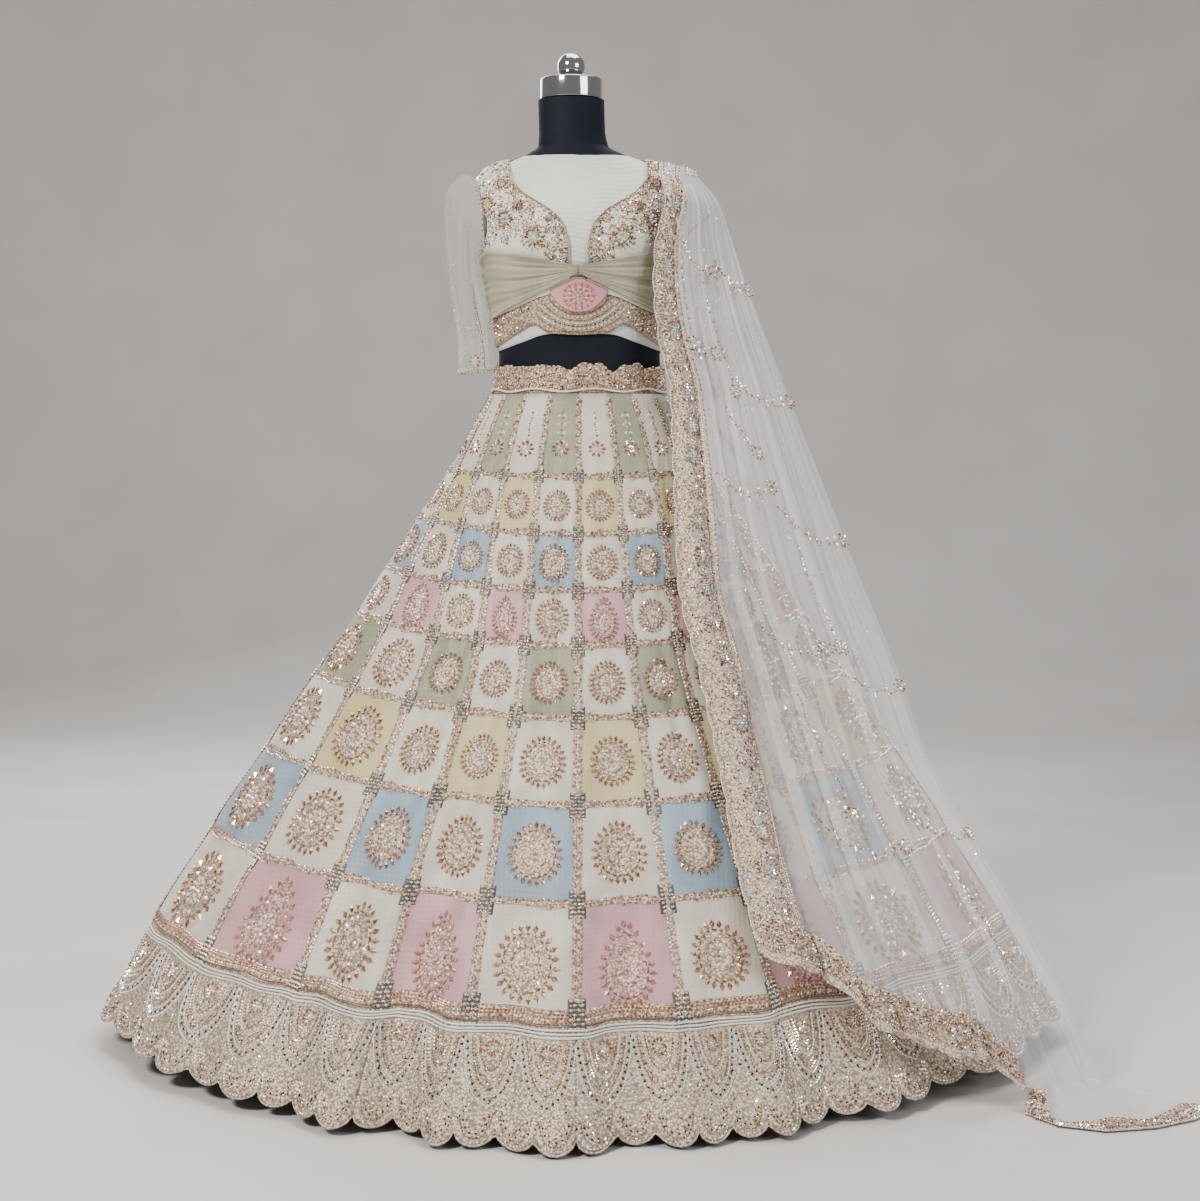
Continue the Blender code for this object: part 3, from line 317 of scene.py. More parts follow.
FRONT_END = [
    FallEnd(0.00, 0.236),
    FallEnd(0.12, 0.216),
    FallEnd(0.20, 0.188),
    FallEnd(0.26, 0.142),
    FallEnd(0.36, 0.118),
    FallEnd(0.46, 0.096),
    FallEnd(0.58, 0.080),
    FallEnd(0.68, 0.030),
    FallEnd(1.00, 0.016),
]
BACK_END_Z = 0.450
FRONT_PLEATS = 5.0
BACK_PLEATS = 3.0
PLEAT_DEPTH_TOP = 0.0035
PLEAT_DEPTH_END = 0.0190
BULGE_TOP = 0.013
BULGE_END = 0.040
SHOULDER_ARCH_INNER = 0.0273
SHOULDER_ARCH_OUTER = 0.0107
TailStation = namedtuple("TailStation", "free_x free_y")
TAIL_FREE = [
    TailStation(0.612, -0.385),
    TailStation(0.646, -0.440),
    TailStation(0.705, -0.462),
    TailStation(0.775, -0.448),
    TailStation(0.835, -0.415),
    TailStation(0.880, -0.372),
]
TAIL_START = 0.68
TAIL_Z = 0.0022


# Curves and surfaces, as in the construction


def curve_through(table, key, value, at):
    """A smooth, never overshooting curve through a table's rows (monotone cubic)."""
    xs = np.array([getattr(row, key) for row in table], float)
    ys = np.array([getattr(row, value) for row in table], float)
    if xs[0] > xs[-1]:
        xs = xs[::-1]
        ys = ys[::-1]
    steps = np.diff(xs)
    slopes = np.diff(ys) / steps
    tangents = np.zeros_like(ys)
    tangents[0] = slopes[0]
    tangents[-1] = slopes[-1]
    same_way = slopes[:-1] * slopes[1:] > 0
    joined = np.where(same_way, slopes[:-1] + slopes[1:], 1.0)
    tangents[1:-1] = np.where(same_way, 2 * slopes[:-1] * slopes[1:] / joined, 0.0)
    at = np.clip(np.asarray(at, float), xs[0], xs[-1])
    cell = np.clip(np.searchsorted(xs, at, side="right") - 1, 0, len(xs) - 2)
    t = (at - xs[cell]) / steps[cell]
    rise = t * t * (3 - 2 * t)
    lead = t * (1 - t) ** 2 * tangents[cell]
    trail = t * t * (1 - t) * tangents[cell + 1]
    return ys[cell] + (ys[cell + 1] - ys[cell]) * rise + steps[cell] * (lead - trail)


def smooth_step(t):
    t = np.clip(t, 0.0, 1.0)
    return t * t * (3 - 2 * t)


def outward_of(place):
    """Level unit vectors away from the axis, turned towards front and back as an oval's are."""
    outward = place * np.array([1.0, 1.9, 0.0])
    return outward / np.linalg.norm(outward, axis=-1, keepdims=True)


def form_point(angle, z):
    half_width = curve_through(FORM_SECTIONS, "z", "half_width", z)
    front = curve_through(FORM_SECTIONS, "z", "front", z)
    back = curve_through(FORM_SECTIONS, "z", "back", z)
    centre_x = curve_through(FORM_SECTIONS, "z", "centre_x", z)
    turn = np.arctan2(np.sin(angle), np.cos(angle))
    bust = BUST_PEAK * np.exp(-(((np.abs(turn) - BUST_ANGLE) / BUST_SPREAD) ** 2))
    bust = bust * np.exp(-(((z - BUST_Z) / BUST_RISE) ** 2))
    depth = np.where(np.cos(turn) > 0, front + bust, back)
    x = centre_x + half_width * np.sin(turn)
    y = -depth * np.cos(turn)
    return np.stack([x, y, z + 0.0 * x], axis=-1)


def form_angle(x, z):
    """The angle at which the form's front lies x from the centre, at height z."""
    half_width = curve_through(FORM_SECTIONS, "z", "half_width", z)
    centre_x = curve_through(FORM_SECTIONS, "z", "centre_x", z)
    return np.arcsin(np.clip((x - centre_x) / half_width, -1.0, 1.0))


def seam_reach(gore, down):
    """How far out a place lies in the plan, 0 at the centre to 1 at the side, in a quarter."""
    quarter = np.abs(gore)
    quarter = np.where(quarter > GORES / 4, GORES / 2 - quarter, quarter)
    waist = np.sin(quarter * math.tau / GORES)
    hem = np.interp(quarter, np.arange(len(HEM_SEAMS)), HEM_SEAMS)
    spread_turn = np.interp(quarter, np.arange(len(HEM_SEAMS)), np.arcsin(HEM_SEAMS))
    hem = 0.35 * hem + 0.65 * np.sin(spread_turn)
    return waist + (hem - waist) * smooth_step(down / SEAMS_SETTLE)


def skirt_base(gore, down):
    """The skirt without its folds."""
    side_x = curve_through(SKIRT_ROWS, "down", "side_x", down)
    front_y = curve_through(SKIRT_ROWS, "down", "front_y", down)
    side_z = curve_through(SKIRT_ROWS, "down", "side_z", down)
    front_z = curve_through(SKIRT_ROWS, "down", "front_z", down)
    power = WAIST_ROUNDNESS + (HEM_ROUNDNESS - WAIST_ROUNDNESS) * smooth_step(down / 0.7)
    reach = np.clip(seam_reach(gore, down), 0.0, 1.0)
    fore = np.clip(1.0 - reach**power, 0.0, 1.0) ** (1.0 / power)
    x = side_x * reach * np.sign(gore)
    y = np.where(np.abs(gore) > GORES / 4, 1.0, -1.0) * front_y * fore
    z = front_z + (side_z - front_z) * reach**2
    return np.stack(np.broadcast_arrays(x, y, z), axis=-1)


def fold_depth(gore, down):
    """How far the folds draw the cloth in. The ridges between troughs swell out a little."""
    depth = np.zeros(np.broadcast(gore, down).shape)
    for fold in SKIRT_FOLDS:
        away = (gore - fold.gore + GORES / 2) % GORES - GORES / 2
        grown = np.clip((down - fold.start) / (1.0 - fold.start), 0.0, 1.2) ** 1.15
        trough = np.exp(-((away / fold.breadth) ** 2))
        shoulders = 0.28 * np.exp(-(((np.abs(away) - 1.7 * fold.breadth) / fold.breadth) ** 2))
        depth = depth + fold.depth * grown * (trough - shoulders)
    return depth


def crease_depth(gore, down):
    """The creases and the pucker along seams and rows, drawn in from the largest folds."""
    depth = np.zeros(np.broadcast(gore, down).shape)
    for crease in CREASES:
        share = (down - crease.start) / (crease.end - crease.start)
        line = crease.gore + crease.lean * share
        away = (gore - line + GORES / 2) % GORES - GORES / 2
        grown = np.sin(math.pi * np.clip(share, 0.0, 1.0)) ** 2
        depth = depth + 1.5 * crease.depth * grown * np.exp(-((away / crease.breadth) ** 2))
    to_seam = np.abs((gore + 0.5) % 1.0 - 0.5)
    pucker = SEAM_PUCKER * np.exp(-((to_seam / 0.06) ** 2))
    to_row = np.min([np.abs(down - edge) for edge in ROW_EDGES], axis=0)
    pucker = pucker + ROW_PUCKER * np.exp(-((to_row / 0.007) ** 2))
    ripple = RIPPLE * np.sin(math.tau * (2.3 * gore + 0.6 * np.sin(9.0 * down)) + 14.0 * down)
    return depth + pucker * np.clip(down / 0.1, 0.0, 1.0) + ripple * np.clip(down / 0.2, 0.0, 1.0)


def skirt_point(gore, down):
    gore = (np.asarray(gore, float) + GORES / 2) % GORES - GORES / 2
    down = np.asarray(down, float)
    base = skirt_base(gore, down)
    drawn_in = fold_depth(gore, down) + crease_depth(gore, down)
    return base - outward_of(base) * drawn_in[..., None]


def scallop_line(gore):
    """The scalloped edge: 1 at the lowest part of each scallop, less at the cusps."""
    share = (gore * SCALLOPS_PER_GORE) % 1.0
    return 1.0 - SCALLOP_RISE * (1.0 - np.sin(math.pi * share) ** 0.6)


def band_point(gore, down):
    """The waistband, gathered along its top: down 0 at the top to 1 at the waist seam."""
    gore = np.asarray(gore, float)
    turn = gore * math.tau / GORES
    wave = np.cos(turn * RUFFLES) + 0.45 * np.cos(turn * (3 * RUFFLES - 2) + 1.0)
    lift = smooth_step(1.0 - np.asarray(down, float))
    uneven = 0.55 + 0.45 * np.sin(3.0 * turn + 0.6)
    peaks = 0.75 * np.sin(turn * RUFFLES) + 0.45 * np.sin(turn * (2 * RUFFLES + 3) + 0.9)
    height = BAND_TOP - BAND_BOTTOM + RUFFLE_RISE * peaks * uneven
    place = form_point(turn, BAND_BOTTOM + height * (1.0 - down))
    return place + outward_of(place) * (RUFFLE_DEPTH * (1.35 + wave) * 0.5 * lift)[..., None]


def line_height(table, angle):
    degrees = np.degrees(np.abs(np.arctan2(np.sin(angle), np.cos(angle))))
    return curve_through(table, "degrees", "z", degrees)


def armhole_inset(z):
    """How far the armhole's edge lies from the side line, as an angle."""
    share = np.clip((z - ARMHOLE_BOTTOM) / (ARMHOLE_TOP - ARMHOLE_BOTTOM), 0.0, 1.0)
    return ARMHOLE_ANGLE * np.sin(math.pi * share) ** 0.7


def drape_line(angle, edge):
    """Height of the under-bust drape's upper or lower edge."""
    degrees = [row.degrees for row in DRAPE_EDGES]
    heights = [getattr(row, edge) for row in DRAPE_EDGES]
    return np.interp(np.degrees(np.abs(angle)), degrees, heights)


def drape_point(angle, z):
    """The net drape over the form, with soft diagonal folds that run together at the centre."""
    base = form_point(angle, z)
    low = drape_line(angle, "lower")
    high = drape_line(angle, "upper")
    share = (z - low) / (high - low)
    turn = np.abs(angle)
    spread = smooth_step(turn / DRAPE_SMOOTH_MIDDLE)
    bent = share + 0.10 * np.sin(2.2 * turn + 0.8) * share * (1.0 - share) * 4.0
    ridge = DRAPE_FOLD_DEPTH * (0.22 + spread) * 0.5 * (1.0 + np.cos(math.tau * DRAPE_FOLDS * bent))
    wander = 0.9 * np.sin(3.1 * turn + 1.0) + np.where(angle < 0.0, 0.9, 0.0)
    finer = 0.5 * (1.0 + np.sin(math.tau * FINE_PER_FOLD * DRAPE_FOLDS * bent + 2.0 * turn + wander))
    broken = 0.5 * (1.0 + np.sin(math.tau * BROKEN_PER_FOLD * DRAPE_FOLDS * bent + 4.0 * turn + 2.0))
    fine = DRAPE_CREASE * (0.35 + 0.65 * spread) * finer**1.5 * (0.35 + 0.65 * broken)
    return base + outward_of(base) * (DRAPE_OUT + ridge + fine)[..., None]


def armhole_ring(turn):
    """The armhole's edge on the wearer's left: turn 0 at the shoulder, a quarter at the front."""
    middle = 0.5 * (ARMHOLE_TOP + ARMHOLE_BOTTOM)
    z = middle + 0.5 * (ARMHOLE_TOP - ARMHOLE_BOTTOM) * np.cos(turn)
    angle = math.pi / 2 - np.sign(np.sin(turn)) * armhole_inset(z)
    place = form_point(angle, z)
    return place + outward_of(place) * SLEEVE_SEAM_OUT


def sleeve_tube(rings, side):
    """An open tube of net from the armhole through its rings, with finer soft folds."""
    Station = namedtuple("Station", ("level",) + SleeveRing._fields)
    stations = [Station(level + 1.0, *ring) for level, ring in enumerate(rings)]

    def tube(turn, level):
        def read(column):
            return curve_through(stations, "level", column, level)

        tilt = np.radians(read("tilt"))
        fine = SOFT_FOLDS * np.cos((2 * SLEEVE_WAVES + 3) * turn + 1.7 * np.sin(level))
        wave = read("wave") * (np.cos(SLEEVE_WAVES * turn + 0.25 * level) + fine)
        full = 1.0 + 0.28 * np.clip(-np.cos(turn), 0.0, 1.0) * smooth_step((level - 1.0) / 2.0)
        across = (read("half_across") * full + wave) * np.cos(turn)
        x = read("x") + across * np.cos(tilt)
        y = read("y") - (read("half_depth") + wave) * np.sin(turn)
        z = read("z") + across * np.sin(tilt)
        ring = np.stack(np.broadcast_arrays(x, y, z), axis=-1)
        share = np.minimum(np.asarray(level, float), 1.0)[..., None]
        head = armhole_ring(turn + 0.0 * level)
        return (head + (ring - head) * share) * np.array([side, 1.0, 1.0])

    return tube


def fall_point(table, share, z, pleats, outward_sign):
    """A place on a fall: share 0 at the inner edge to 1 at the outer edge."""
    inner_x = curve_through(table, "z", "inner_x", z)
    inner_y = curve_through(table, "z", "inner_y", z)
    outer_x = curve_through(table, "z", "outer_x", z)
    outer_y = curve_through(table, "z", "outer_y", z)
    along = np.stack(np.broadcast_arrays(outer_x - inner_x, outer_y - inner_y, 0.0 * z), axis=-1)
    width = np.linalg.norm(along, axis=-1, keepdims=True)
    off = np.stack([along[..., 1], -along[..., 0], along[..., 2]], axis=-1) / width * outward_sign
    low = smooth_step((table[0].z - z) / table[0].z)
    bulge = BULGE_TOP + (BULGE_END - BULGE_TOP) * low
    pleat = PLEAT_DEPTH_TOP + (PLEAT_DEPTH_END - PLEAT_DEPTH_TOP) * low
    phase = math.tau * pleats * (share + 0.03 * np.sin(math.tau * share))
    uneven = 1.0 + 0.35 * np.sin(5.1 * share + 1.3)
    wave = 0.5 * (1.0 - np.cos(phase)) * pleat * uneven
    inside = smooth_step(share / 0.2)
    fine = np.sin(2.6 * phase + 2.0 * np.sin(3.0 * z)) + 0.5 * np.sin(4.7 * phase + 5.0 * z)
    lift = bulge * np.sin(math.pi * np.clip(share, 0.0, 1.0)) + wave + 0.24 * pleat * inside * fine
    start = np.stack(np.broadcast_arrays(inner_x, inner_y, z), axis=-1)
    return start + along * np.asarray(share)[..., None] + off * lift[..., None]


def front_fall(share, z):
    return fall_point(FRONT_FALL, share, z, FRONT_PLEATS, 1.0)


def back_fall(share, z):
    return fall_point(BACK_FALL, share, z, BACK_PLEATS, -1.0)


def over_shoulder(share, turn):
    """The gathered stretch over the shoulder, from the front fall's top to the back fall's."""
    share = np.asarray(share, float)
    front = front_fall(share, FRONT_FALL[0].z + 0.0 * share)
    back = back_fall(share, BACK_FALL[0].z + 0.0 * share)
    turn = np.asarray(turn, float)[..., None]
    place = front + (back - front) * turn
    height = SHOULDER_ARCH_INNER + (SHOULDER_ARCH_OUTER - SHOULDER_ARCH_INNER) * share
    arch = height[..., None] * np.sin(math.pi * np.clip(turn, 0.0, 1.0))
    return place + arch * np.array([0.0, 0.0, 1.0])


def floor_end(share, out):
    """The end that lies on the floor: out 0 at the fall's lower edge to 1 at the free edge."""
    share = np.asarray(share, float)
    out = np.asarray(out, float)
    across = TAIL_START + (1.0 - TAIL_START) * share
    end = curve_through(FRONT_END, "across", "z", across)
    hung = front_fall(across, end)
    stations = np.linspace(0.0, 1.0, len(TAIL_FREE))
    free_x = np.interp(share, stations, [station.free_x for station in TAIL_FREE])
    free_y = np.interp(share, stations, [station.free_y for station in TAIL_FREE])
    x = hung[..., 0] + (free_x - hung[..., 0]) * out
    y = hung[..., 1] + (free_y - hung[..., 1]) * out
    settle = (1.0 - np.clip(out / 0.35, 0.0, 1.0)) ** 2
    swell = 0.006 * np.sin(math.pi * out) * (1.0 + np.sin(math.tau * 2.5 * share + 0.6))
    z = TAIL_Z + (hung[..., 2] - TAIL_Z) * settle + swell
    return np.stack(np.broadcast_arrays(x, y, z), axis=-1)


# Camera, lights and floor

CAMERA_PLACE = (0.031, -3.2, 0.939)
CAMERA_PITCH = math.radians(4.745)
CAMERA_LENS = 63.3


def make_stage():
    camera = bpy.data.cameras.new("camera")
    camera.lens = CAMERA_LENS
    camera.sensor_width = 36.0
    camera.sensor_fit = "HORIZONTAL"
    placed = bpy.data.objects.new("camera", camera)
    placed.location = CAMERA_PLACE
    placed.rotation_euler = (math.pi / 2 - CAMERA_PITCH, 0.0, 0.0)
    bpy.context.scene.collection.objects.link(placed)
    bpy.context.scene.camera = placed
    Light = namedtuple("Light", "name place size energy colour")
    lights = [
        Light("key", (-1.9, -2.6, 2.9), 0.9, 112.0, (1.0, 0.96, 0.91)),
        Light("fill", (2.6, -2.2, 1.9), 1.6, 36.0, (0.97, 0.98, 1.0)),
        Light("top", (0.2, 0.5, 3.4), 2.0, 44.0, (1.0, 0.99, 0.97)),
        Light("back", (-1.2, 2.8, 2.3), 1.8, 44.0, (1.0, 0.98, 0.96)),
    ]
    for light in lights:
        lamp = bpy.data.lights.new(light.name, "AREA")
        lamp.size = light.size
        lamp.energy = light.energy
        lamp.color = light.colour
        holder = bpy.data.objects.new(light.name, lamp)
        holder.location = light.place
        away = np.array([0.1, 0.0, 0.7]) - np.array(light.place)
        flat = math.hypot(away[0], away[1])
        holder.rotation_euler = (math.atan2(flat, -away[2]), 0.0, math.atan2(-away[0], away[1]))
        bpy.context.scene.collection.objects.link(holder)
    world = bpy.data.worlds.new("studio")
    world.use_nodes = True
    background = world.node_tree.nodes["Background"]
    background.inputs["Color"].default_value = (0.83, 0.82, 0.81, 1.0)
    background.inputs["Strength"].default_value = 0.34
    bpy.context.scene.world = world
    bpy.context.scene.view_settings.view_transform = "AgX"
    bpy.context.scene.view_settings.look = "AgX - Medium High Contrast"
    paper, nodes, links, shader = plain_material("floor_paper", 0.85, 0.0)
    colour_by_noise(nodes, links, shader, 3.0, (0.66, 0.64, 0.63), (0.70, 0.68, 0.67))
    sweep = floor_sweep()
    sweep.data.materials.append(paper)


def floor_sweep():
    """A pale floor that curves up into a backdrop behind the object."""
    half = 6.0
    bend = 1.5
    back = 3.2
    ys = [-6.0] + [back + bend * math.sin(t) for t in np.linspace(0.0, math.pi / 2, 14)]
    ys.append(back + bend)
    zs = [0.0] + [bend * (1.0 - math.cos(t)) for t in np.linspace(0.0, math.pi / 2, 14)]
    zs.append(6.0)
    points = [(x, y, z) for y, z in zip(ys, zs) for x in (-half, half)]
    faces = [[2 * i, 2 * i + 1, 2 * i + 3, 2 * i + 2] for i in range(len(ys) - 1)]
    return mesh_object("floor", np.array(points), np.array(faces))


# Materials

TWILLS = ("silk_sage", "silk_yellow", "silk_blue", "silk_pink")


def plain_material(name, roughness, metallic):
    made = bpy.data.materials.new(name)
    made.use_nodes = True
    nodes = made.node_tree.nodes
    shader = nodes["Principled BSDF"]
    shader.inputs["Roughness"].default_value = roughness
    shader.inputs["Metallic"].default_value = metallic
    return made, nodes, made.node_tree.links, shader


def colour_by_noise(nodes, links, shader, scale, first, second, detail=3.0):
    """Base colour that wanders between two tones."""
    place = nodes.new("ShaderNodeTexCoord")
    noise = nodes.new("ShaderNodeTexNoise")
    noise.inputs["Scale"].default_value = scale
    noise.inputs["Detail"].default_value = detail
    ramp = nodes.new("ShaderNodeValToRGB")
    ramp.color_ramp.elements[0].position = 0.35
    ramp.color_ramp.elements[0].color = (*first, 1.0)
    ramp.color_ramp.elements[1].position = 0.65
    ramp.color_ramp.elements[1].color = (*second, 1.0)
    links.new(place.outputs["Object"], noise.inputs["Vector"])
    links.new(noise.outputs["Fac"], ramp.inputs["Fac"])
    links.new(ramp.outputs["Color"], shader.inputs["Base Color"])
    return place


def weave_bump(nodes, links, shader, place, threads, depth):
    """Crossed threads and a little slub, as bump. threads is how many a metre."""
    height = None
    for axis in ("X", "Z"):
        wave = nodes.new("ShaderNodeTexWave")
        wave.bands_direction = axis
        wave.inputs["Scale"].default_value = threads / 20.0
        wave.inputs["Distortion"].default_value = 1.2
        wave.inputs["Detail"].default_value = 2.0
        links.new(place.outputs["Object"], wave.inputs["Vector"])
        if height is None:
            height = wave.outputs["Fac"]
            continue
        both = nodes.new("ShaderNodeMath")
        both.operation = "MULTIPLY_ADD"
        both.inputs[1].default_value = 1.0
        links.new(wave.outputs["Fac"], both.inputs[0])
        links.new(height, both.inputs[2])
        height = both.outputs["Value"]
    slub = nodes.new("ShaderNodeTexNoise")
    slub.inputs["Scale"].default_value = threads / 5.0
    links.new(place.outputs["Object"], slub.inputs["Vector"])
    mixed = nodes.new("ShaderNodeMath")
    mixed.operation = "ADD"
    links.new(height, mixed.inputs[0])
    links.new(slub.outputs["Fac"], mixed.inputs[1])
    bump = nodes.new("ShaderNodeBump")
    bump.inputs["Strength"].default_value = 0.35
    bump.inputs["Distance"].default_value = depth
    links.new(mixed.outputs["Value"], bump.inputs["Height"])
    links.new(bump.outputs["Normal"], shader.inputs["Normal"])


def twill_lines(nodes, links, shader, place):
    """Fine diagonal lines across a silk, a little darker than its ground."""
    wave = nodes.new("ShaderNodeTexWave")
    wave.bands_direction = "DIAGONAL"
    wave.inputs["Scale"].default_value = 150.0
    wave.inputs["Distortion"].default_value = 1.5
    wave.inputs["Detail"].default_value = 1.0
    shade = nodes.new("ShaderNodeMapRange")
    shade.inputs["To Min"].default_value = 0.80
    shade.inputs["To Max"].default_value = 1.06
    mixed = nodes.new("ShaderNodeVectorMath")
    mixed.operation = "SCALE"
    colour = shader.inputs["Base Color"].links[0].from_socket
    links.new(place.outputs["Object"], wave.inputs["Vector"])
    links.new(wave.outputs["Fac"], shade.inputs["Value"])
    links.new(colour, mixed.inputs[0])
    links.new(shade.outputs["Result"], mixed.inputs["Scale"])
    links.new(mixed.outputs["Vector"], shader.inputs["Base Color"])


def cloth_material(name, first, second, roughness, sheen, threads, depth, alpha=1.0):
    """A woven cloth between two tones. threads is how many a metre, and alpha how closed it is."""
    made, nodes, links, shader = plain_material(name, roughness, 0.0)
    shader.inputs["Sheen Weight"].default_value = sheen
    shader.inputs["Sheen Roughness"].default_value = 0.4
    shader.inputs["Alpha"].default_value = alpha
    shader.inputs["Specular IOR Level"].default_value = 0.35
    place = colour_by_noise(nodes, links, shader, 14.0, first, second)
    weave_bump(nodes, links, shader, place, threads, depth)
    if name in TWILLS:
        twill_lines(nodes, links, shader, place)
    return made


def bead_material(name, first, second, roughness, metallic, coat):
    made, nodes, links, shader = plain_material(name, roughness, metallic)
    shader.inputs["Coat Weight"].default_value = coat
    colour_by_noise(nodes, links, shader, 260.0, first, second, detail=1.0)
    return made


def sequin_net_material(name, ground, first, second):
    """Net so thickly sewn that its sequins make the surface: small uneven cells that glint."""
    made, nodes, links, shader = plain_material(name, 0.42, 0.25)
    place = nodes.new("ShaderNodeTexCoord")
    cells = nodes.new("ShaderNodeTexVoronoi")
    cells.inputs["Scale"].default_value = 260.0
    ramp = nodes.new("ShaderNodeValToRGB")
    ramp.color_ramp.elements[0].color = (*first, 1.0)
    ramp.color_ramp.elements[1].color = (*ground, 1.0)
    ramp.color_ramp.elements[0].position = 0.25
    ramp.color_ramp.elements[1].position = 0.85
    middle = ramp.color_ramp.elements.new(0.55)
    middle.color = (*second, 1.0)
    links.new(place.outputs["Object"], cells.inputs["Vector"])
    links.new(cells.outputs["Distance"], ramp.inputs["Fac"])
    links.new(ramp.outputs["Color"], shader.inputs["Base Color"])
    bump = nodes.new("ShaderNodeBump")
    bump.inputs["Strength"].default_value = 0.8
    bump.inputs["Distance"].default_value = 0.0015
    bump.invert = True
    links.new(cells.outputs["Distance"], bump.inputs["Height"])
    links.new(bump.outputs["Normal"], shader.inputs["Normal"])
    return made


def metal_material(name, colour, roughness, scale):
    made, nodes, links, shader = plain_material(name, roughness, 1.0)
    darker = tuple(0.9 * part for part in colour)
    colour_by_noise(nodes, links, shader, scale, darker, colour)
    return made


def make_materials():
    """Every finish by name."""
    made = {}
    for name, first, second in (
        ("ivory", (0.58, 0.54, 0.46), (0.68, 0.64, 0.56)),
        ("sage", (0.33, 0.34, 0.25), (0.42, 0.42, 0.32)),
        ("yellow", (0.60, 0.53, 0.30), (0.68, 0.61, 0.38)),
        ("blue", (0.30, 0.39, 0.46), (0.38, 0.48, 0.54)),
        ("pink", (0.58, 0.35, 0.38), (0.68, 0.44, 0.46)),
    ):
        made[name] = cloth_material(f"silk_{name}", first, second, 0.50, 0.35, 900, 0.0005)
    nets = (
        ("border", (0.34, 0.29, 0.22), (0.74, 0.69, 0.61), (0.47, 0.38, 0.29)),
        ("braid", (0.30, 0.23, 0.17), (0.78, 0.73, 0.65), (0.46, 0.34, 0.25)),
        ("band", (0.34, 0.29, 0.21), (0.62, 0.57, 0.48), (0.42, 0.31, 0.22)),
        ("ruffle", (0.30, 0.23, 0.16), (0.68, 0.61, 0.51), (0.44, 0.32, 0.22)),
        ("rose_pad", (0.34, 0.19, 0.17), (0.74, 0.62, 0.58), (0.52, 0.33, 0.30)),
        ("veil_edge", (0.40, 0.33, 0.26), (0.74, 0.68, 0.60), (0.48, 0.37, 0.28)),
    )
    for name, ground, first, second in nets:
        made[name] = sequin_net_material(f"{name}_net", ground, first, second)
    tints = (
        ("blouse", (0.66, 0.68, 0.58), (0.76, 0.77, 0.68), 0.6, 0.3, 700, 0.0006, 1.0),
        ("drape", (0.36, 0.34, 0.25), (0.50, 0.48, 0.37), 0.55, 0.35, 700, 0.0008, 1.0),
        ("yoke", (0.64, 0.68, 0.62), (0.72, 0.76, 0.70), 0.6, 0.3, 500, 0.0008, 0.94),
        ("lining", (0.70, 0.71, 0.70), (0.78, 0.79, 0.78), 0.6, 0.3, 700, 0.0005, 0.80),
        ("sleeve", (0.66, 0.65, 0.56), (0.76, 0.75, 0.66), 0.6, 0.3, 600, 0.0006, 0.21),
        ("gusset", (0.58, 0.30, 0.33), (0.68, 0.39, 0.41), 0.45, 0.3, 900, 0.0004, 1.0),
        ("veil", (0.80, 0.78, 0.80), (0.90, 0.88, 0.90), 0.6, 0.8, 500, 0.0006, 0.31),
        ("cord", (0.70, 0.68, 0.62), (0.84, 0.82, 0.76), 0.45, 0.3, 1200, 0.0008, 1.0),
        ("jersey", (0.008, 0.010, 0.020), (0.014, 0.016, 0.028), 0.75, 0.10, 900, 0.0003, 1.0),
    )
    for name, *values in tints:
        made[name] = cloth_material(f"{name}_cloth", *values)
    # The dark pad under the junction bugles: painted shade that shows between their courses.
    made["patch"] = cloth_material(
        "patch_net", (0.10, 0.09, 0.08), (0.18, 0.16, 0.14), 0.5, 0.1, 900, 0.0005,
    )
    made["chrome"] = metal_material("chrome", (0.56, 0.56, 0.57), 0.10, 20.0)
    made["steel"] = metal_material("satin_steel", (0.56, 0.56, 0.57), 0.34, 60.0)
    beads = (
        ("gold_bead", (0.38, 0.21, 0.13), (0.72, 0.49, 0.35), 0.22, 0.85, 0.3),
        ("silver_bead", (0.66, 0.63, 0.58), (0.95, 0.93, 0.90), 0.22, 0.85, 0.3),
        ("pearl", (0.80, 0.77, 0.72), (0.94, 0.92, 0.88), 0.25, 0.0, 0.9),
        ("dark_bead", (0.03, 0.03, 0.03), (0.14, 0.12, 0.11), 0.2, 0.5, 0.3),
        ("rose_bead", (0.44, 0.23, 0.19), (0.68, 0.42, 0.37), 0.25, 0.6, 0.3),
        ("pink_bead", (0.72, 0.48, 0.50), (0.84, 0.62, 0.63), 0.2, 0.1, 0.3),
        ("blue_bead", (0.52, 0.62, 0.70), (0.68, 0.76, 0.82), 0.2, 0.1, 0.3),
        ("green_bead", (0.50, 0.64, 0.54), (0.64, 0.74, 0.64), 0.2, 0.1, 0.3),
        ("yellow_bead", (0.68, 0.58, 0.38), (0.80, 0.70, 0.50), 0.2, 0.2, 0.3),
    )
    for name, *values in beads:
        made[name] = bead_material(name, *values)
    return made


# Meshes


def mesh_object(name, points, faces, smooth=True):
    """An object from arrays. faces has one row for each face."""
    mesh = bpy.data.meshes.new(name)
    mesh.vertices.add(len(points))
    mesh.vertices.foreach_set("co", np.ascontiguousarray(points, np.float32).ravel())
    mesh.loops.add(faces.size)
    mesh.loops.foreach_set("vertex_index", np.ascontiguousarray(faces, np.int32).ravel())
    mesh.polygons.add(len(faces))
    mesh.polygons.foreach_set(
        "loop_start", np.arange(0, faces.size, faces.shape[1], dtype=np.int32),
    )
    mesh.update(calc_edges=True)
    mesh.polygons.foreach_set("use_smooth", np.full(len(faces), smooth))
    placed = bpy.data.objects.new(name, mesh)
    bpy.context.scene.collection.objects.link(placed)
    return placed


def rides(placed, node=None):
    """Sets a mesh on the one body, and as the stand-in for a solid."""
    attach(placed, "root")
    if node:
        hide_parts(*([node] if isinstance(node, str) else node))
    return placed


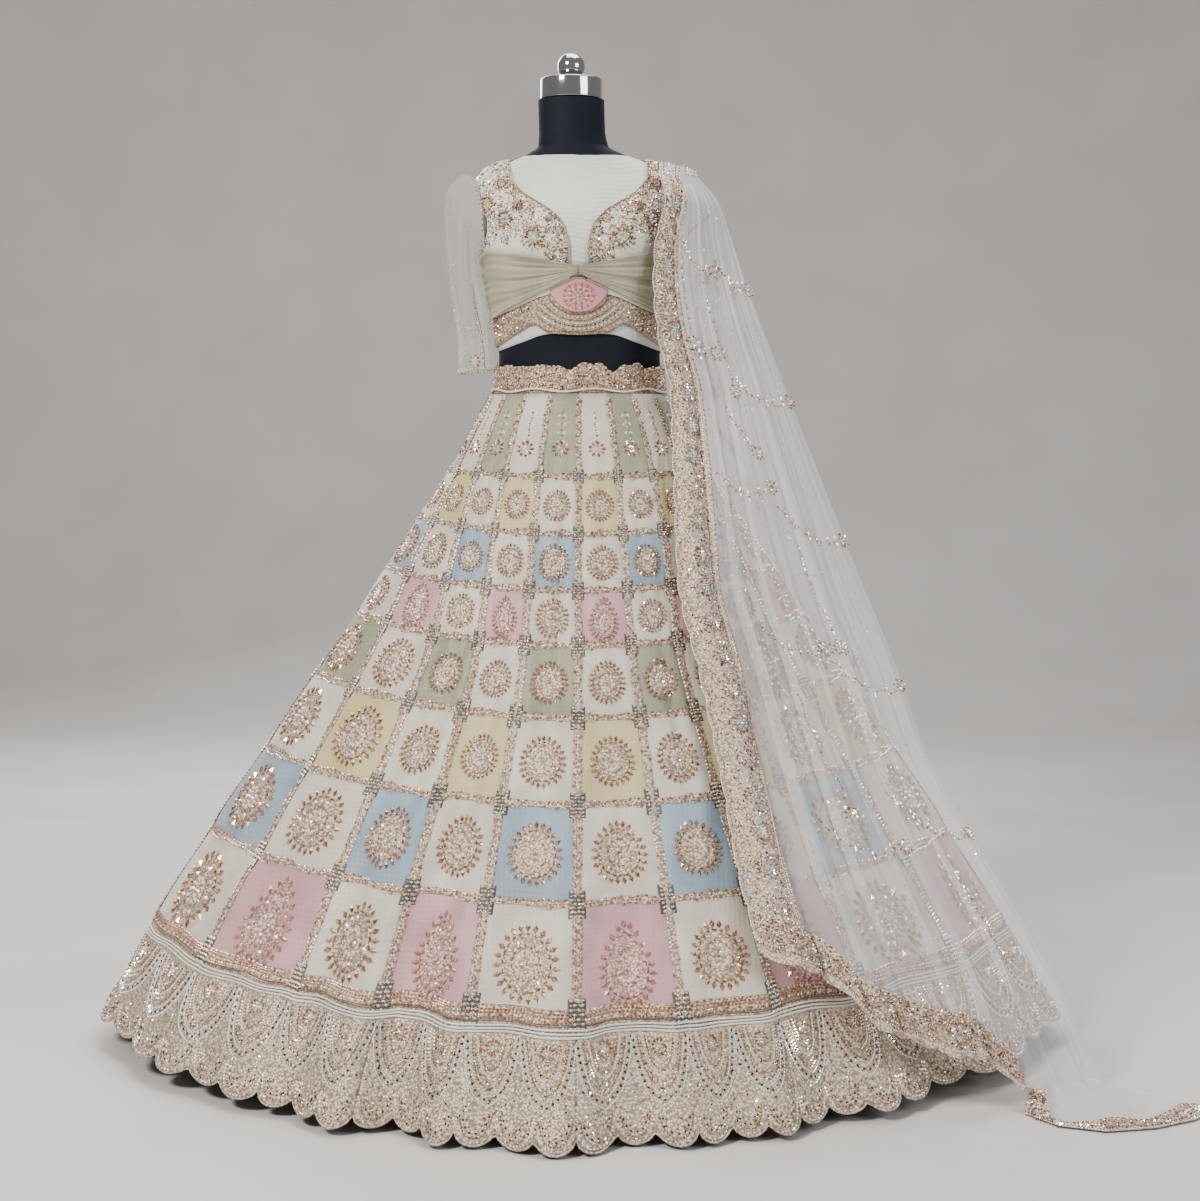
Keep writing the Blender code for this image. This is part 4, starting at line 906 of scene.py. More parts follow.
def plain_mesh(name, points, faces, finish, node=None):
    """A mesh in one finish."""
    placed = mesh_object(name, points, faces)
    placed.data.materials.append(MATERIALS[finish])
    return rides(placed, node)


def frames(surface, u, v, up=False, step=1e-4):
    """Places, unit normals and the two edge vectors of surface(u, v). Normals point away from
    the axis on the whole, or up."""
    u, v = np.broadcast_arrays(np.asarray(u, float), np.asarray(v, float))
    place = surface(u, v)
    along_u = (surface(u + step, v) - surface(u - step, v)) / (2 * step)
    along_v = (surface(u, v + step) - surface(u, v - step)) / (2 * step)
    normal = np.cross(along_u, along_v)
    normal = normal / np.maximum(np.linalg.norm(normal, axis=-1, keepdims=True), 1e-12)
    facing = normal[..., 2].sum() if up else (normal[..., :2] * place[..., :2]).sum()
    return place, (-normal if facing < 0 else normal), along_u, along_v


def lifted(surface, out, up=False):
    """The same surface, moved out along its normals."""

    def moved(u, v):
        place, normal, _, _ = frames(surface, u, v, up)
        return place + normal * out

    return moved


def grid_faces(rows, columns, closed=False):
    row, column = np.meshgrid(
        np.arange(rows - 1), np.arange(columns if closed else columns - 1), indexing="ij",
    )
    beside = (column + 1) % columns
    corners = [row * columns + column, row * columns + beside]
    corners += [(row + 1) * columns + beside, (row + 1) * columns + column]
    return np.stack([corner.ravel() for corner in corners], axis=1)


def cloth(
    name, surface, u, v, inner, thickness, finishes, node, closed=False,
    up=False,
):
    """A cloth piece on surface(u, v). With no thickness it is a single sheet, for sheer net.
    node is the solid or solids that it stands for."""
    u, v = np.broadcast_arrays(u, v)
    rows, columns = u.shape
    place, normal, _, _ = frames(surface, u, v, up)
    faces = grid_faces(rows, columns, closed)
    if thickness:
        count = rows * columns
        outside = (place + normal * (inner + thickness)).reshape(-1, 3)
        points = np.concatenate([outside, (place + normal * inner).reshape(-1, 3)])
        rim = []
        spans = np.arange(columns if closed else columns - 1)
        beside = (spans + 1) % columns
        for start in (0, (rows - 1) * columns):
            edge = [start + spans, start + beside, count + start + beside, count + start + spans]
            rim.append(np.stack(edge if start else edge[::-1], axis=1))
        if not closed:
            levels = np.arange(rows - 1) * columns
            for start in (0, columns - 1):
                edge = [levels + start, levels + columns + start]
                edge += [count + levels + columns + start, count + levels + start]
                rim.append(np.stack(edge[::-1] if start else edge, axis=1))
        faces = np.concatenate([faces, faces[:, ::-1] + count] + rim)
        faces = facing_out(points, faces)
    else:
        points = (place + normal * inner).reshape(-1, 3)
    placed = mesh_object(name, points, faces)
    for finish in finishes:
        placed.data.materials.append(MATERIALS[finish])
    rides(placed, node)
    return placed


def facing_out(points, faces):
    """Turns every face round if the closed mesh is inside out."""
    corners = points[faces]
    first = np.cross(corners[:, 1] - corners[:, 0], corners[:, 2] - corners[:, 0])
    second = np.cross(corners[:, 2] - corners[:, 0], corners[:, 3] - corners[:, 0])
    volume = ((first + second) * corners[:, 0]).sum()
    return faces[:, ::-1] if volume < 0 else faces


class Beads:
    """Many beads in one mesh. Each is a four-sided stone stretched to its sizes, with no
    underside, its rim sunk towards the cloth."""

    RIM = -0.5
    CORNERS = np.array([(1, 0, RIM), (-1, 0, RIM), (0, 1, RIM), (0, -1, RIM), (0, 0, 1)], float)
    SIDES = np.array([(0, 2, 4), (2, 1, 4), (1, 3, 4), (3, 0, 4)])

    def __init__(self, name):
        self.name = name
        self.points = []
        self.tone_of = []

    def add(self, place, along, normal, size, tone):
        """place, along and normal are rows of vectors; size is half the length, width and height,
        one for all or one row each; tone is an index into BEAD_TONES, one for all or one each."""
        place = place.reshape(-1, 3)
        along = along.reshape(-1, 3)
        normal = normal.reshape(-1, 3)
        across = np.cross(normal, along)
        across = across / np.maximum(np.linalg.norm(across, axis=1, keepdims=True), 1e-12)
        along = np.cross(across, normal)
        size = np.broadcast_to(np.asarray(size, float), (len(place), 3))
        corner = self.CORNERS[None, :, :] * size[:, None, :]
        points = place[:, None, :] + corner[..., :1] * along[:, None, :]
        points = points + corner[..., 1:2] * across[:, None, :] + corner[..., 2:] * normal[:, None, :]
        self.points.append(points.reshape(-1, 3))
        self.tone_of.append(np.broadcast_to(np.asarray(tone, int), (len(place),)))

    def build(self):
        points = np.concatenate(self.points)
        tone_of = np.concatenate(self.tone_of)
        first = len(self.CORNERS) * np.arange(len(tone_of))[:, None, None]
        faces = (self.SIDES[None, :, :] + first).reshape(-1, 3)
        placed = mesh_object(self.name, points, faces, smooth=False)
        for tone in BEAD_TONES:
            placed.data.materials.append(MATERIALS[tone])
        tone_of_face = np.repeat(tone_of, len(self.SIDES)).astype(np.int32)
        placed.data.polygons.foreach_set("material_index", tone_of_face)
        rides(placed)


def strand(beads, surface, u, v, pitch, size, tones, lift, up=False):
    """Beads in a row along a line on a surface. tones repeat along it."""
    u, v = np.broadcast_arrays(np.asarray(u, float), np.asarray(v, float))
    line = surface(u, v)
    run = np.concatenate([[0.0], np.cumsum(np.linalg.norm(np.diff(line, axis=0), axis=1))])
    marks = np.arange(0.5 * pitch, run[-1], pitch)
    if not len(marks):
        return
    at_u = np.interp(marks, run, u)
    at_v = np.interp(marks, run, v)
    place, normal, _, _ = frames(surface, at_u, at_v, up)
    ahead = surface(np.interp(marks + 1e-3, run, u), np.interp(marks + 1e-3, run, v))
    behind = surface(np.interp(marks - 1e-3, run, u), np.interp(marks - 1e-3, run, v))
    tone = np.asarray(tones)[np.arange(len(marks)) % len(tones)]
    beads.add(place + normal * lift, ahead - behind, normal, size, tone)


Element = namedtuple("Element", "a b angle length width height tone")


def motif(beads, surface, u, v, elements, scale_a=1.0, scale_b=1.0, lift=0.001, up=False):
    """Sets the same group of beads round each centre (u, v). a and b are metres along u and v
    before scaling; scales may differ from centre to centre."""
    u = np.atleast_1d(np.asarray(u, float))[:, None]
    v = np.atleast_1d(np.asarray(v, float))[:, None]
    scale_a = np.broadcast_to(np.asarray(scale_a, float).reshape(-1, 1), u.shape)
    scale_b = np.broadcast_to(np.asarray(scale_b, float).reshape(-1, 1), u.shape)
    _, _, along_u, along_v = frames(surface, u, v, up)
    size_u = np.linalg.norm(along_u, axis=-1)
    size_v = np.linalg.norm(along_v, axis=-1)
    table = np.array(elements, float)
    at_u = u + table[None, :, 0] * scale_a / size_u
    at_v = v + table[None, :, 1] * scale_b / size_v
    place, normal, along_u, along_v = frames(surface, at_u, at_v, up)
    unit_u = along_u / np.linalg.norm(along_u, axis=-1, keepdims=True)
    unit_v = along_v / np.linalg.norm(along_v, axis=-1, keepdims=True)
    turn = np.broadcast_to(table[None, :, 2], at_u.shape)[..., None]
    along = unit_u * np.cos(turn) * scale_a[..., None] + unit_v * np.sin(turn) * scale_b[..., None]
    mean = np.sqrt(scale_a * scale_b)[..., None]
    size = table[None, :, 3:6] * mean
    tone = np.broadcast_to(table[None, :, 6], at_u.shape).astype(int)
    beads.add(place + normal * lift, along, normal, size.reshape(-1, 3), tone.ravel())


def scallop_of(half, tall, pitch, length, width, tones, tip=0.16, height=0.0014):
    """Elements along a hanging scallop, its lowest part drawn out to a soft point."""
    share = np.linspace(-1.0, 1.0, 161)
    across = half * share
    drop = tall * ((1.0 - tip) * (1.0 - np.abs(share) ** 3.6) + tip * (1.0 - np.abs(share)) ** 2)
    run = np.concatenate([[0.0], np.cumsum(np.hypot(np.diff(across), np.diff(drop)))])
    made = []
    for number, mark in enumerate(np.arange(0.5 * pitch, run[-1], pitch)):
        at = np.interp(mark, run, share)
        ahead = np.interp([mark - 1e-4, mark + 1e-4], run, drop)
        way = math.atan2(
            ahead[1] - ahead[0],
            half * (np.interp(mark + 1e-4, run, share) - np.interp(mark - 1e-4, run, share)),
        )
        tone = tones[number % len(tones)]
        made.append(Element(half * at, np.interp(mark, run, drop), way, length, width, height, tone))
    return made


def scattered(beads, surface, u, v, lift, tones, weights, smallest, largest, up=False):
    """Loose beads and sequins of mixed sizes, each turned its own way."""
    place, normal, along_u, along_v = frames(surface, u, v, up)
    turn = rng.uniform(0.0, math.pi, len(u))[:, None]
    unit_u = along_u / np.linalg.norm(along_u, axis=-1, keepdims=True)
    unit_v = along_v / np.linalg.norm(along_v, axis=-1, keepdims=True)
    long = rng.uniform(smallest, largest, len(u))
    size = np.stack([long, long * rng.uniform(0.5, 0.9, len(u)), 0.0011 + 0.0 * long], axis=1)
    lean = 0.25 * rng.normal(size=normal.shape)
    normal = normal + lean
    normal = normal / np.linalg.norm(normal, axis=-1, keepdims=True)
    tone = rng.choice(tones, len(u), p=weights)
    beads.add(
        place + normal * lift, unit_u * np.cos(turn) + unit_v * np.sin(turn), normal, size, tone,
    )


def ring_of(
    count, radius, length, width, tone, height=0.0010, radial=True, start=0.0, tall=1.0, point=0.0,
):
    """Elements round a circle or oval. point draws its upper side out into a tip."""
    made = []
    for index in range(count):
        turn = start + math.tau * index / count
        reach = radius * tall * (1.0 + point * max(0.0, -math.sin(turn)) ** 3)
        way = turn if radial else turn + math.pi / 2
        a = radius * math.cos(turn)
        b = reach * math.sin(turn)
        made.append(Element(a, b, way, length, width, height, tone))
    return made


def stone(size, height, tone):
    """One round stone in the middle of a motif."""
    return [Element(0.0, 0.0, 0.0, size, size, height, tone)]


def cord_along(name, points, radius, sides, finish, node=None):
    """A cord along a closed line of points."""
    ahead = np.roll(points, -1, axis=0) - np.roll(points, 1, axis=0)
    ahead = ahead / np.linalg.norm(ahead, axis=1, keepdims=True)
    side = np.cross(ahead, np.array([0.0, 0.0, 1.0]))
    side = side / np.linalg.norm(side, axis=1, keepdims=True)
    rise = np.cross(side, ahead)
    turns = np.linspace(0.0, math.tau, sides, endpoint=False)[None, :, None]
    ring = side[:, None, :] * np.cos(turns) + rise[:, None, :] * np.sin(turns)
    place = (points[:, None, :] + radius * ring).reshape(-1, 3)
    faces = grid_faces(len(points) + 1, sides, closed=True) % len(place)
    plain_mesh(name, place, faces, finish, node)


# Dress form

TURNED_STEPS = 64


def turned(name, profile, finish, node):
    """A piece turned round the neck's axis from a profile of (radius, z)."""
    turns = np.linspace(0.0, math.tau, TURNED_STEPS, endpoint=False)
    points = [(NECK_X + r * math.cos(t), r * math.sin(t), z) for r, z in profile for t in turns]
    faces = grid_faces(len(profile), TURNED_STEPS, closed=True)
    placed = plain_mesh(name, np.array(points), faces, finish, node)
    placed.data.set_sharp_from_angle(angle=math.radians(40))


def make_form():
    angles = np.linspace(0.0, math.tau, 96, endpoint=False)
    stretches = ((0.800, 1.29, 40), (1.295, 1.36, 30), (1.365, 1.4218, 8))
    heights = np.concatenate([np.linspace(*stretch) for stretch in stretches])
    rings = [form_point(angles, np.full_like(angles, z)) for z in heights]
    axis = np.array([0.0, 0.0, 1.0])
    bottom = rings[0] * 0.0 + axis * heights[0]
    top = rings[-1] * 0.0 + axis * heights[-1] + np.array([NECK_X, 0.0, 0.0])
    points = np.concatenate([bottom] + rings + [top])
    faces = grid_faces(len(rings) + 2, len(angles), closed=True)
    faces = facing_out(points, faces)
    body = plain_mesh("jersey_body", points, faces, "jersey", "form_torso")
    body.data.set_sharp_from_angle(angle=math.radians(50))
    top_z = FINIAL_Z - SEAM_GAP
    lip = 0.003
    rounding = [math.radians(turn) for turn in (0, 22, 45, 67, 90)]
    cap = [(0.0001, top_z)]
    cap += [
        (CAP_RADIUS - lip + lip * math.sin(turn), top_z - lip + lip * math.cos(turn))
        for turn in rounding
    ]
    cap += [
        (CAP_RADIUS - lip + lip * math.cos(turn), CAP_Z + lip - lip * math.sin(turn))
        for turn in rounding
    ]
    cap += [(0.0001, CAP_Z)]
    turned("chrome_cap", cap, "chrome", "form_cap")
    lowest = math.asin(FINIAL_STEM_RADIUS / FINIAL_RADIUS)
    middle = FINIAL_Z + FINIAL_STEM
    ball = [(0.0001, middle + FINIAL_RADIUS)]
    for turn in np.linspace(0.06, math.pi - lowest, 26):
        ball.append((FINIAL_RADIUS * math.sin(turn), middle + FINIAL_RADIUS * math.cos(turn)))
    ball += [(FINIAL_STEM_RADIUS, FINIAL_Z), (0.0001, FINIAL_Z)]
    turned("chrome_finial", ball, "chrome", "form_finial")
    for node in ("form_pole", "form_base"):
        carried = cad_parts[node]
        carried.data.materials.clear()
        carried.data.materials.append(MATERIALS["steel"])


# Skirt

COLOURED = ["sage", "yellow", "blue", "pink"]
BEAD_TONES = [
    "gold_bead", "silver_bead", "pearl", "dark_bead", "rose_bead", "pink_bead", "blue_bead",
    "green_bead", "yellow_bead",
]
GOLD, SILVER, PEARL, DARK, ROSE, PINK, BLUE, GREEN, YELLOW = range(9)
PANEL_COLUMNS = 15
ROWS_PER_BLOCK = 11


def make_panels():
    """The twenty gores, each pieced from eight blocks that change colour at the rows."""
    downs = [0.0]
    block_of = []
    for block in range(len(ROW_EDGES) - 1):
        downs += list(np.linspace(ROW_EDGES[block], ROW_EDGES[block + 1], ROWS_PER_BLOCK + 1)[1:])
        block_of += [block] * ROWS_PER_BLOCK
    downs = np.array(downs)[:, None]
    for number in range(GORES):
        first = number - GORES // 2
        gores = np.linspace(first + PANEL_GAP, first + 1 - PANEL_GAP, PANEL_COLUMNS + 1)[None, :]
        name = f"panel_{number + 1:02d}"
        node = f"skirt_gore_{number + 1:02d}"
        finishes = ["ivory"] + COLOURED
        panel = cloth(
            name, skirt_point, gores, downs, 0.0, CLOTH, finishes, node,
        )
        tones = []
        for block in block_of:
            coloured = (first + block + 1) % 2 == 0
            tones += [1 + block % len(COLOURED) if coloured else 0] * PANEL_COLUMNS
        count = len(panel.data.polygons)
        index = np.zeros(count, np.int32)
        index[: len(tones)] = tones
        index[len(tones) : 2 * len(tones)] = tones
        panel.data.polygons.foreach_set("material_index", index)


def make_border():
    """The net border in ten lengths, scalloped along the hem."""
    columns = BORDER_GORES * SCALLOPS_PER_GORE * 12
    shares = np.linspace(0.0, 1.0, columns + 1)[None, :]
    top = BORDER_DOWN + BORDER_SEAM
    for number in range(GORES // BORDER_GORES):
        first = number * BORDER_GORES - GORES / 2
        gores = first + PANEL_GAP + (BORDER_GORES - 2 * PANEL_GAP) * shares
        downs = top + (scallop_line(gores) - top) * np.linspace(0.0, 1.0, 13)[:, None]
        name = f"border_net_{number + 1:02d}"
        node = f"skirt_border_{number + 1:02d}"
        cloth(
            name, skirt_point, gores, downs, 0.0, CLOTH, ["border"], node,
        )


ON_CLOTH = CLOTH + 0.0001
ON_SKIRT = CLOTH + 0.0006
BRAID = 0.0009
SEAM_BRAID_HALF = 0.0058
ROW_BRAID_HALF = 0.0046
BORDER_BRAID_HALF = 0.0105
BORDER_BRAID_ABOVE = 0.0110
PAD_RINGS = ((0.001, 1.0), (0.60, 0.85), (0.90, 0.45), (1.0, 0.0))
JUNCTION_PAD_RISE = 0.0016
MEDALLION_PAD_RISE = 0.0014


def spread_at(down, least):
    """How much of its full width a seam's or row's trim has: least at the waist."""
    return least + (1.0 - least) * np.clip(down / 0.5, 0.0, 1.0)


def braid_along(name, lines, half):
    """Flat braids laid over the skirt. Each line is (gores, downs, sideways, width): sideways
    where the braid's width lies along the gores, and width its share of half."""
    all_points = []
    all_faces = []
    count = 0
    for gores, downs, sideways, width in lines:
        gores, downs = np.broadcast_arrays(np.asarray(gores, float), np.asarray(downs, float))
        _, normal, along_u, along_v = frames(skirt_point, gores, downs)
        way = along_u if sideways else along_v
        reach = half * width / np.linalg.norm(way, axis=-1)
        rails = []
        for across, rise in ((-1.0, 0.0), (-0.8, 1.0), (0.8, 1.0), (1.0, 0.0)):
            at_gore = gores + (reach * across if sideways else 0.0)
            at_down = downs + (0.0 if sideways else reach * across)
            place = skirt_point(at_gore, at_down)
            rails.append(place + normal * (ON_CLOTH + BRAID * rise))
        block = np.stack(rails, axis=1)
        all_points.append(block.reshape(-1, 3))
        all_faces.append(grid_faces(len(block), len(rails), closed=True) + count)
        count += block.shape[0] * block.shape[1]
    points = np.concatenate(all_points)
    plain_mesh(name, points, facing_out(points, np.concatenate(all_faces)), "braid")


def make_braids():
    """The beaded braid under every seam and row, and the band over the border's cords."""
    downs = np.linspace(0.004, BORDER_DOWN - 0.002, 160)
    spread = spread_at(downs, 0.55)
    seams = [
        (seam, downs, True, spread)
        for seam in np.arange(-GORES // 2, GORES // 2, dtype=float)
    ]
    braid_along("seam_braid", seams, SEAM_BRAID_HALF)
    gores = np.linspace(-GORES / 2 + 0.01, GORES / 2, 420)
    rows = [(gores, edge, False, spread_at(edge, 0.6)) for edge in ROW_EDGES[1:-1]]
    braid_along("row_braid", rows, ROW_BRAID_HALF)
    top = (gores, BORDER_DOWN - BORDER_BRAID_ABOVE, False, 1.0)
    braid_along("border_top_braid", [top], BORDER_BRAID_HALF)


def pads_on(name, centres_u, centres_v, half_a, half_b, shape, corners, finish, domed):
    """Low domed pads under the thickest beadwork. shape gives the outline's reach by turn, and
    corners is how many points the outline has."""
    turns = np.linspace(0.0, math.tau, corners, endpoint=False)
    u = np.asarray(centres_u, float)[:, None, None]
    v = np.asarray(centres_v, float)[:, None, None]
    half_a = np.broadcast_to(half_a, np.shape(centres_u))[:, None, None]
    half_b = np.broadcast_to(half_b, np.shape(centres_u))[:, None, None]
    _, _, along_u, along_v = frames(skirt_point, u, v)
    size_u = np.linalg.norm(along_u, axis=-1)
    size_v = np.linalg.norm(along_v, axis=-1)
    reach_a, reach_b = shape(turns)
    rings = np.array([reach for reach, rise in PAD_RINGS])[None, :, None]
    at_u = u + rings * reach_a[None, None, :] * half_a / size_u
    at_v = v + rings * reach_b[None, None, :] * half_b / size_v
    place, normal, _, _ = frames(skirt_point, at_u, at_v)
    rises = np.array([rise for reach, rise in PAD_RINGS])[None, :, None]
    points = place + normal * (ON_CLOTH + domed * rises)[..., None]
    each = grid_faces(rings.size, corners, closed=True)
    faces = np.concatenate([each + rings.size * corners * number for number in range(len(points))])
    plain_mesh(name, points.reshape(-1, 3), faces[:, ::-1], finish)


def square_outline(turns):
    """An upright rectangle's reach along its two ways."""
    largest = np.maximum(np.abs(np.cos(turns)), np.abs(np.sin(turns)))
    return np.cos(turns) / largest, np.sin(turns) / largest


def petal_outline(point):
    """A scalloped round, its top drawn out by point."""

    def outline(turns):
        petals = 1.0 - 0.05 * (1.0 + np.cos(13.0 * turns))
        tip = 1.0 + point * np.clip(-np.sin(turns), 0.0, 1.0) ** 3
        return petals * np.cos(turns), petals * tip * np.sin(turns)

    return outline


def make_seam_beads():
    """Bands of four strands down every seam, mostly silver outside, gold and pearl inside."""
    beads = Beads("seam_beads")
    downs = np.linspace(0.004, BORDER_DOWN - 0.002, 700)
    spread = spread_at(downs, 0.55)
    for seam in range(-GORES // 2, GORES // 2):
        _, _, along, _ = frames(skirt_point, seam + 0.0 * downs, downs)
        wide = np.linalg.norm(along, axis=-1)
        sway = 0.0006 * np.sin(140.0 * downs + seam)
        for offset, tones, size in (
            (-0.0054, [SILVER, SILVER, GOLD], (0.0026, 0.0024, 0.0014)),
            (-0.0021, [GOLD], (0.0025, 0.0013, 0.0013)),
            (0.0021, [PEARL, GOLD], (0.0025, 0.0013, 0.0013)),
            (0.0054, [SILVER, GOLD, SILVER], (0.0026, 0.0024, 0.0014)),
        ):
            gores = seam + (offset * spread + sway) / wide
            strand(beads, skirt_point, gores, downs, 0.0056, size, tones, ON_SKIRT + BRAID)
    beads.build()


def make_row_beads():
    """Three wandering strands along every row, and a band of five above the border's cords."""
    beads = Beads("row_beads")
    gores = np.linspace(-GORES / 2, GORES / 2, 1800)
    lines = ((-0.0042, [SILVER, GOLD]), (0.0, [GOLD]), (0.0040, [GOLD, SILVER, SILVER]))
    for number, edge in enumerate(ROW_EDGES[1:-1]):
        for step, (offset, tones) in enumerate(lines):
            sway = 0.0016 * np.sin(gores * 7.0 + 2.0 * step + number)
            sway = sway + 0.0010 * np.sin(gores * 23.0 + step)
            downs = edge + offset * spread_at(edge, 0.6) + sway
            size = (0.0027, 0.0021, 0.0014)
            strand(beads, skirt_point, gores, downs, 0.0058, size, tones, ON_SKIRT + BRAID)
    for offset, tones in (
        (-0.0190, [SILVER, GOLD]), (-0.0150, [GOLD]), (-0.0110, [GOLD, ROSE]),
        (-0.0070, [SILVER, GOLD, PEARL]), (-0.0032, [GOLD]),
    ):
        sway = 0.0008 * np.sin(gores * 9.0 + 300.0 * offset)
        strand(
            beads, skirt_point, gores, BORDER_DOWN + offset + sway, 0.0054,
            (0.0027, 0.0020, 0.0014), tones, ON_SKIRT + BRAID,
        )
    beads.build()


COURSES = 7
BUGLES = 4


def make_junction_beads():
    """Upright patches of bugle beads in courses, white over a dark pad that paints the shade between
    the courses, where seams and rows meet.
    """
    beads = Beads("junction_beads")
    seams = np.arange(-GORES // 2, GORES // 2, dtype=float)
    for level, edge in enumerate(ROW_EDGES[1:]):
        wide = 0.0066 + 0.0006 * level
        tall = 0.0092 + 0.0014 * level
        elements = []
        length = 1.15 * wide / BUGLES
        width = 0.78 * tall / COURSES
        for course in range(COURSES):
            b = -tall + 2.0 * tall * course / (COURSES - 1)
            for number in range(BUGLES):
                a = wide * (2.0 * (number + 0.5) / BUGLES - 1.0)
                finish = SILVER if (number + course) % 2 else PEARL
                elements.append(Element(a, b, 0.0, length, width, 0.0020, finish))
        down = edge if level < len(ROW_EDGES) - 2 else edge - 0.014
        # Dark pads under the bugles: painted shade that shows in the gaps between the courses
        pad = f"junction_shade_pads_{level + 1}"
        pads_on(
            pad, seams, down + 0.0 * seams, 1.12 * wide, 1.14 * tall, square_outline, 24, "patch",
            JUNCTION_PAD_RISE,
        )
        motif(beads, skirt_point, seams, down + 0.0 * seams, elements, lift=ON_SKIRT + 0.0020)
    beads.build()


def medallion(point, tint):
    """A flower of seven rings of beads round a stone, in a unit radius; point draws its top out."""
    elements = stone(0.08, 0.08, tint)
    elements += ring_of(6, 0.15, 0.085, 0.070, SILVER, 0.060, point=0.3 * point)
    elements += ring_of(11, 0.31, 0.095, 0.070, PEARL, 0.050, start=0.2, point=0.6 * point)
    elements += ring_of(15, 0.45, 0.085, 0.038, tint, 0.060, radial=False, point=0.8 * point)
    elements += ring_of(17, 0.60, 0.105, 0.072, SILVER, 0.050, start=0.1, point=point)
    elements += ring_of(20, 0.76, 0.105, 0.042, tint, 0.060, radial=False, point=point)
    elements += ring_of(23, 0.93, 0.135, 0.082, tint, 0.045, start=0.05, point=point)
    elements += ring_of(23, 0.92, 0.070, 0.034, SILVER, 0.075, start=0.05, point=point)
    return elements


def make_medallion_beads():
    """A medallion on every block. Those on the pink silk are drops, and the top row has sprays."""
    beads = Beads("medallion_beads")
    centres = np.arange(-GORES // 2, GORES // 2) + 0.5
    for block in range(1, len(ROW_EDGES) - 1):
        top = ROW_EDGES[block]
        bottom = ROW_EDGES[block + 1]
        coloured = (np.floor(centres) + block + 1) % 2 == 0
        pink = coloured & (block % len(COLOURED) == 3)
        for chosen, point, tint, slim, down_share in (
            (~pink, 0.06, GOLD, 1.0, 0.52), (pink, 0.42, ROSE, 0.86, 0.60),
        ):
            at = centres[chosen]
            if not len(at):
                continue
            down = np.full(len(at), top + (bottom - top) * down_share)
            _, _, along_u, along_v = frames(skirt_point, at, down)
            width = np.linalg.norm(along_u, axis=-1)
            height = np.linalg.norm(along_v, axis=-1) * (bottom - top)
            radius = np.minimum(0.325 * width, 0.350 * height)
            tall = np.clip(0.350 * height / radius, 1.0, 1.12)
            pad = f"medallion_pads_{block + 1}_{'drop' if slim < 1.0 else 'round'}"
            finish = "rose_pad" if tint == ROSE else "braid"
            outline = petal_outline(1.2 * point)
            pads_on(
                pad, at, down, 0.86 * radius * slim, 0.86 * radius * tall, outline, 39, finish,
                MEDALLION_PAD_RISE,
            )
            motif(
                beads, skirt_point, at, down, medallion(point, tint), radius * slim, radius * tall,
                lift=ON_SKIRT + 0.0012,
            )
    spray = ring_of(9, 0.0095, 0.0044, 0.0026, GOLD) + ring_of(6, 0.0040, 0.0026, 0.0020, SILVER)
    spray = [element._replace(b=element.b + 0.024) for element in spray]
    for step in range(11):
        tone = SILVER if step % 2 else GOLD
        a = 0.0010 * math.sin(step)
        b = -0.034 + 0.0046 * step
        spray.append(Element(a, b, math.pi / 2, 0.0026, 0.0021, 0.0014, tone))
        if step % 3 == 1:
            for way in (-1, 1):
                spray.append(Element(0.0046 * way, b, 0.8 * way, 0.0036, 0.0020, 0.0013, PEARL))
    down = np.full(len(centres), 0.5 * (ROW_EDGES[0] + ROW_EDGES[1]))
    motif(beads, skirt_point, centres, down, spray, lift=ON_SKIRT)
    beads.build()


BORDER_BEADS_TOP = BORDER_DOWN + 0.0195


def make_upper_border_beads():
    """A tier of pointed scallops, two to a gore, with a flower in each."""
    upper = Beads("border_beads_upper")
    halves = (np.arange(GORES * 2) + 0.5) / 2 - GORES / 2
    elements = []
    for half, tall, pitch, length, width, tones in (
        (0.0470, 0.0980, 0.0044, 0.0026, 0.0016, [PEARL]),
        (0.0428, 0.0905, 0.0050, 0.0024, 0.0024, [SILVER, DARK]),
        (0.0386, 0.0830, 0.0044, 0.0026, 0.0015, [PEARL]),
        (0.0345, 0.0745, 0.0050, 0.0027, 0.0017, [GOLD]),
        (0.0305, 0.0665, 0.0048, 0.0026, 0.0018, [SILVER, SILVER, GOLD]),
        (0.0262, 0.0580, 0.0046, 0.0026, 0.0014, [PEARL]),
        (0.0220, 0.0490, 0.0050, 0.0026, 0.0018, [GOLD]),
        (0.0178, 0.0405, 0.0050, 0.0026, 0.0016, [SILVER]),
    ):
        elements += scallop_of(half, tall, pitch, length, width, tones)
    bloom = ring_of(
        7, 0.0050, 0.0032, 0.0026, SILVER, 0.0018,
    ) + ring_of(11, 0.0102, 0.0036, 0.0026, GOLD, 0.0018)
    bloom += stone(0.0026, 0.0020, PEARL)
    elements += [element._replace(b=element.b + 0.016) for element in bloom]
    _, _, along_u, _ = frames(skirt_point, halves, 0.90 + 0.0 * halves)
    scale = np.linalg.norm(along_u, axis=-1) / 2 / 0.0940
    motif(
        upper, skirt_point, halves, BORDER_BEADS_TOP + 0.0 * halves, elements, scale, 0.94,
        lift=ON_SKIRT + 0.0003,
    )
    spandrel = ring_of(6, 0.0050, 0.0030, 0.0018, SILVER) + stone(0.0024, 0.0020, ROSE)
    downs = BORDER_BEADS_TOP + 0.064 + 0.0 * halves
    motif(upper, skirt_point, halves + 0.5, downs, spandrel, lift=ON_SKIRT)
    upper.build()


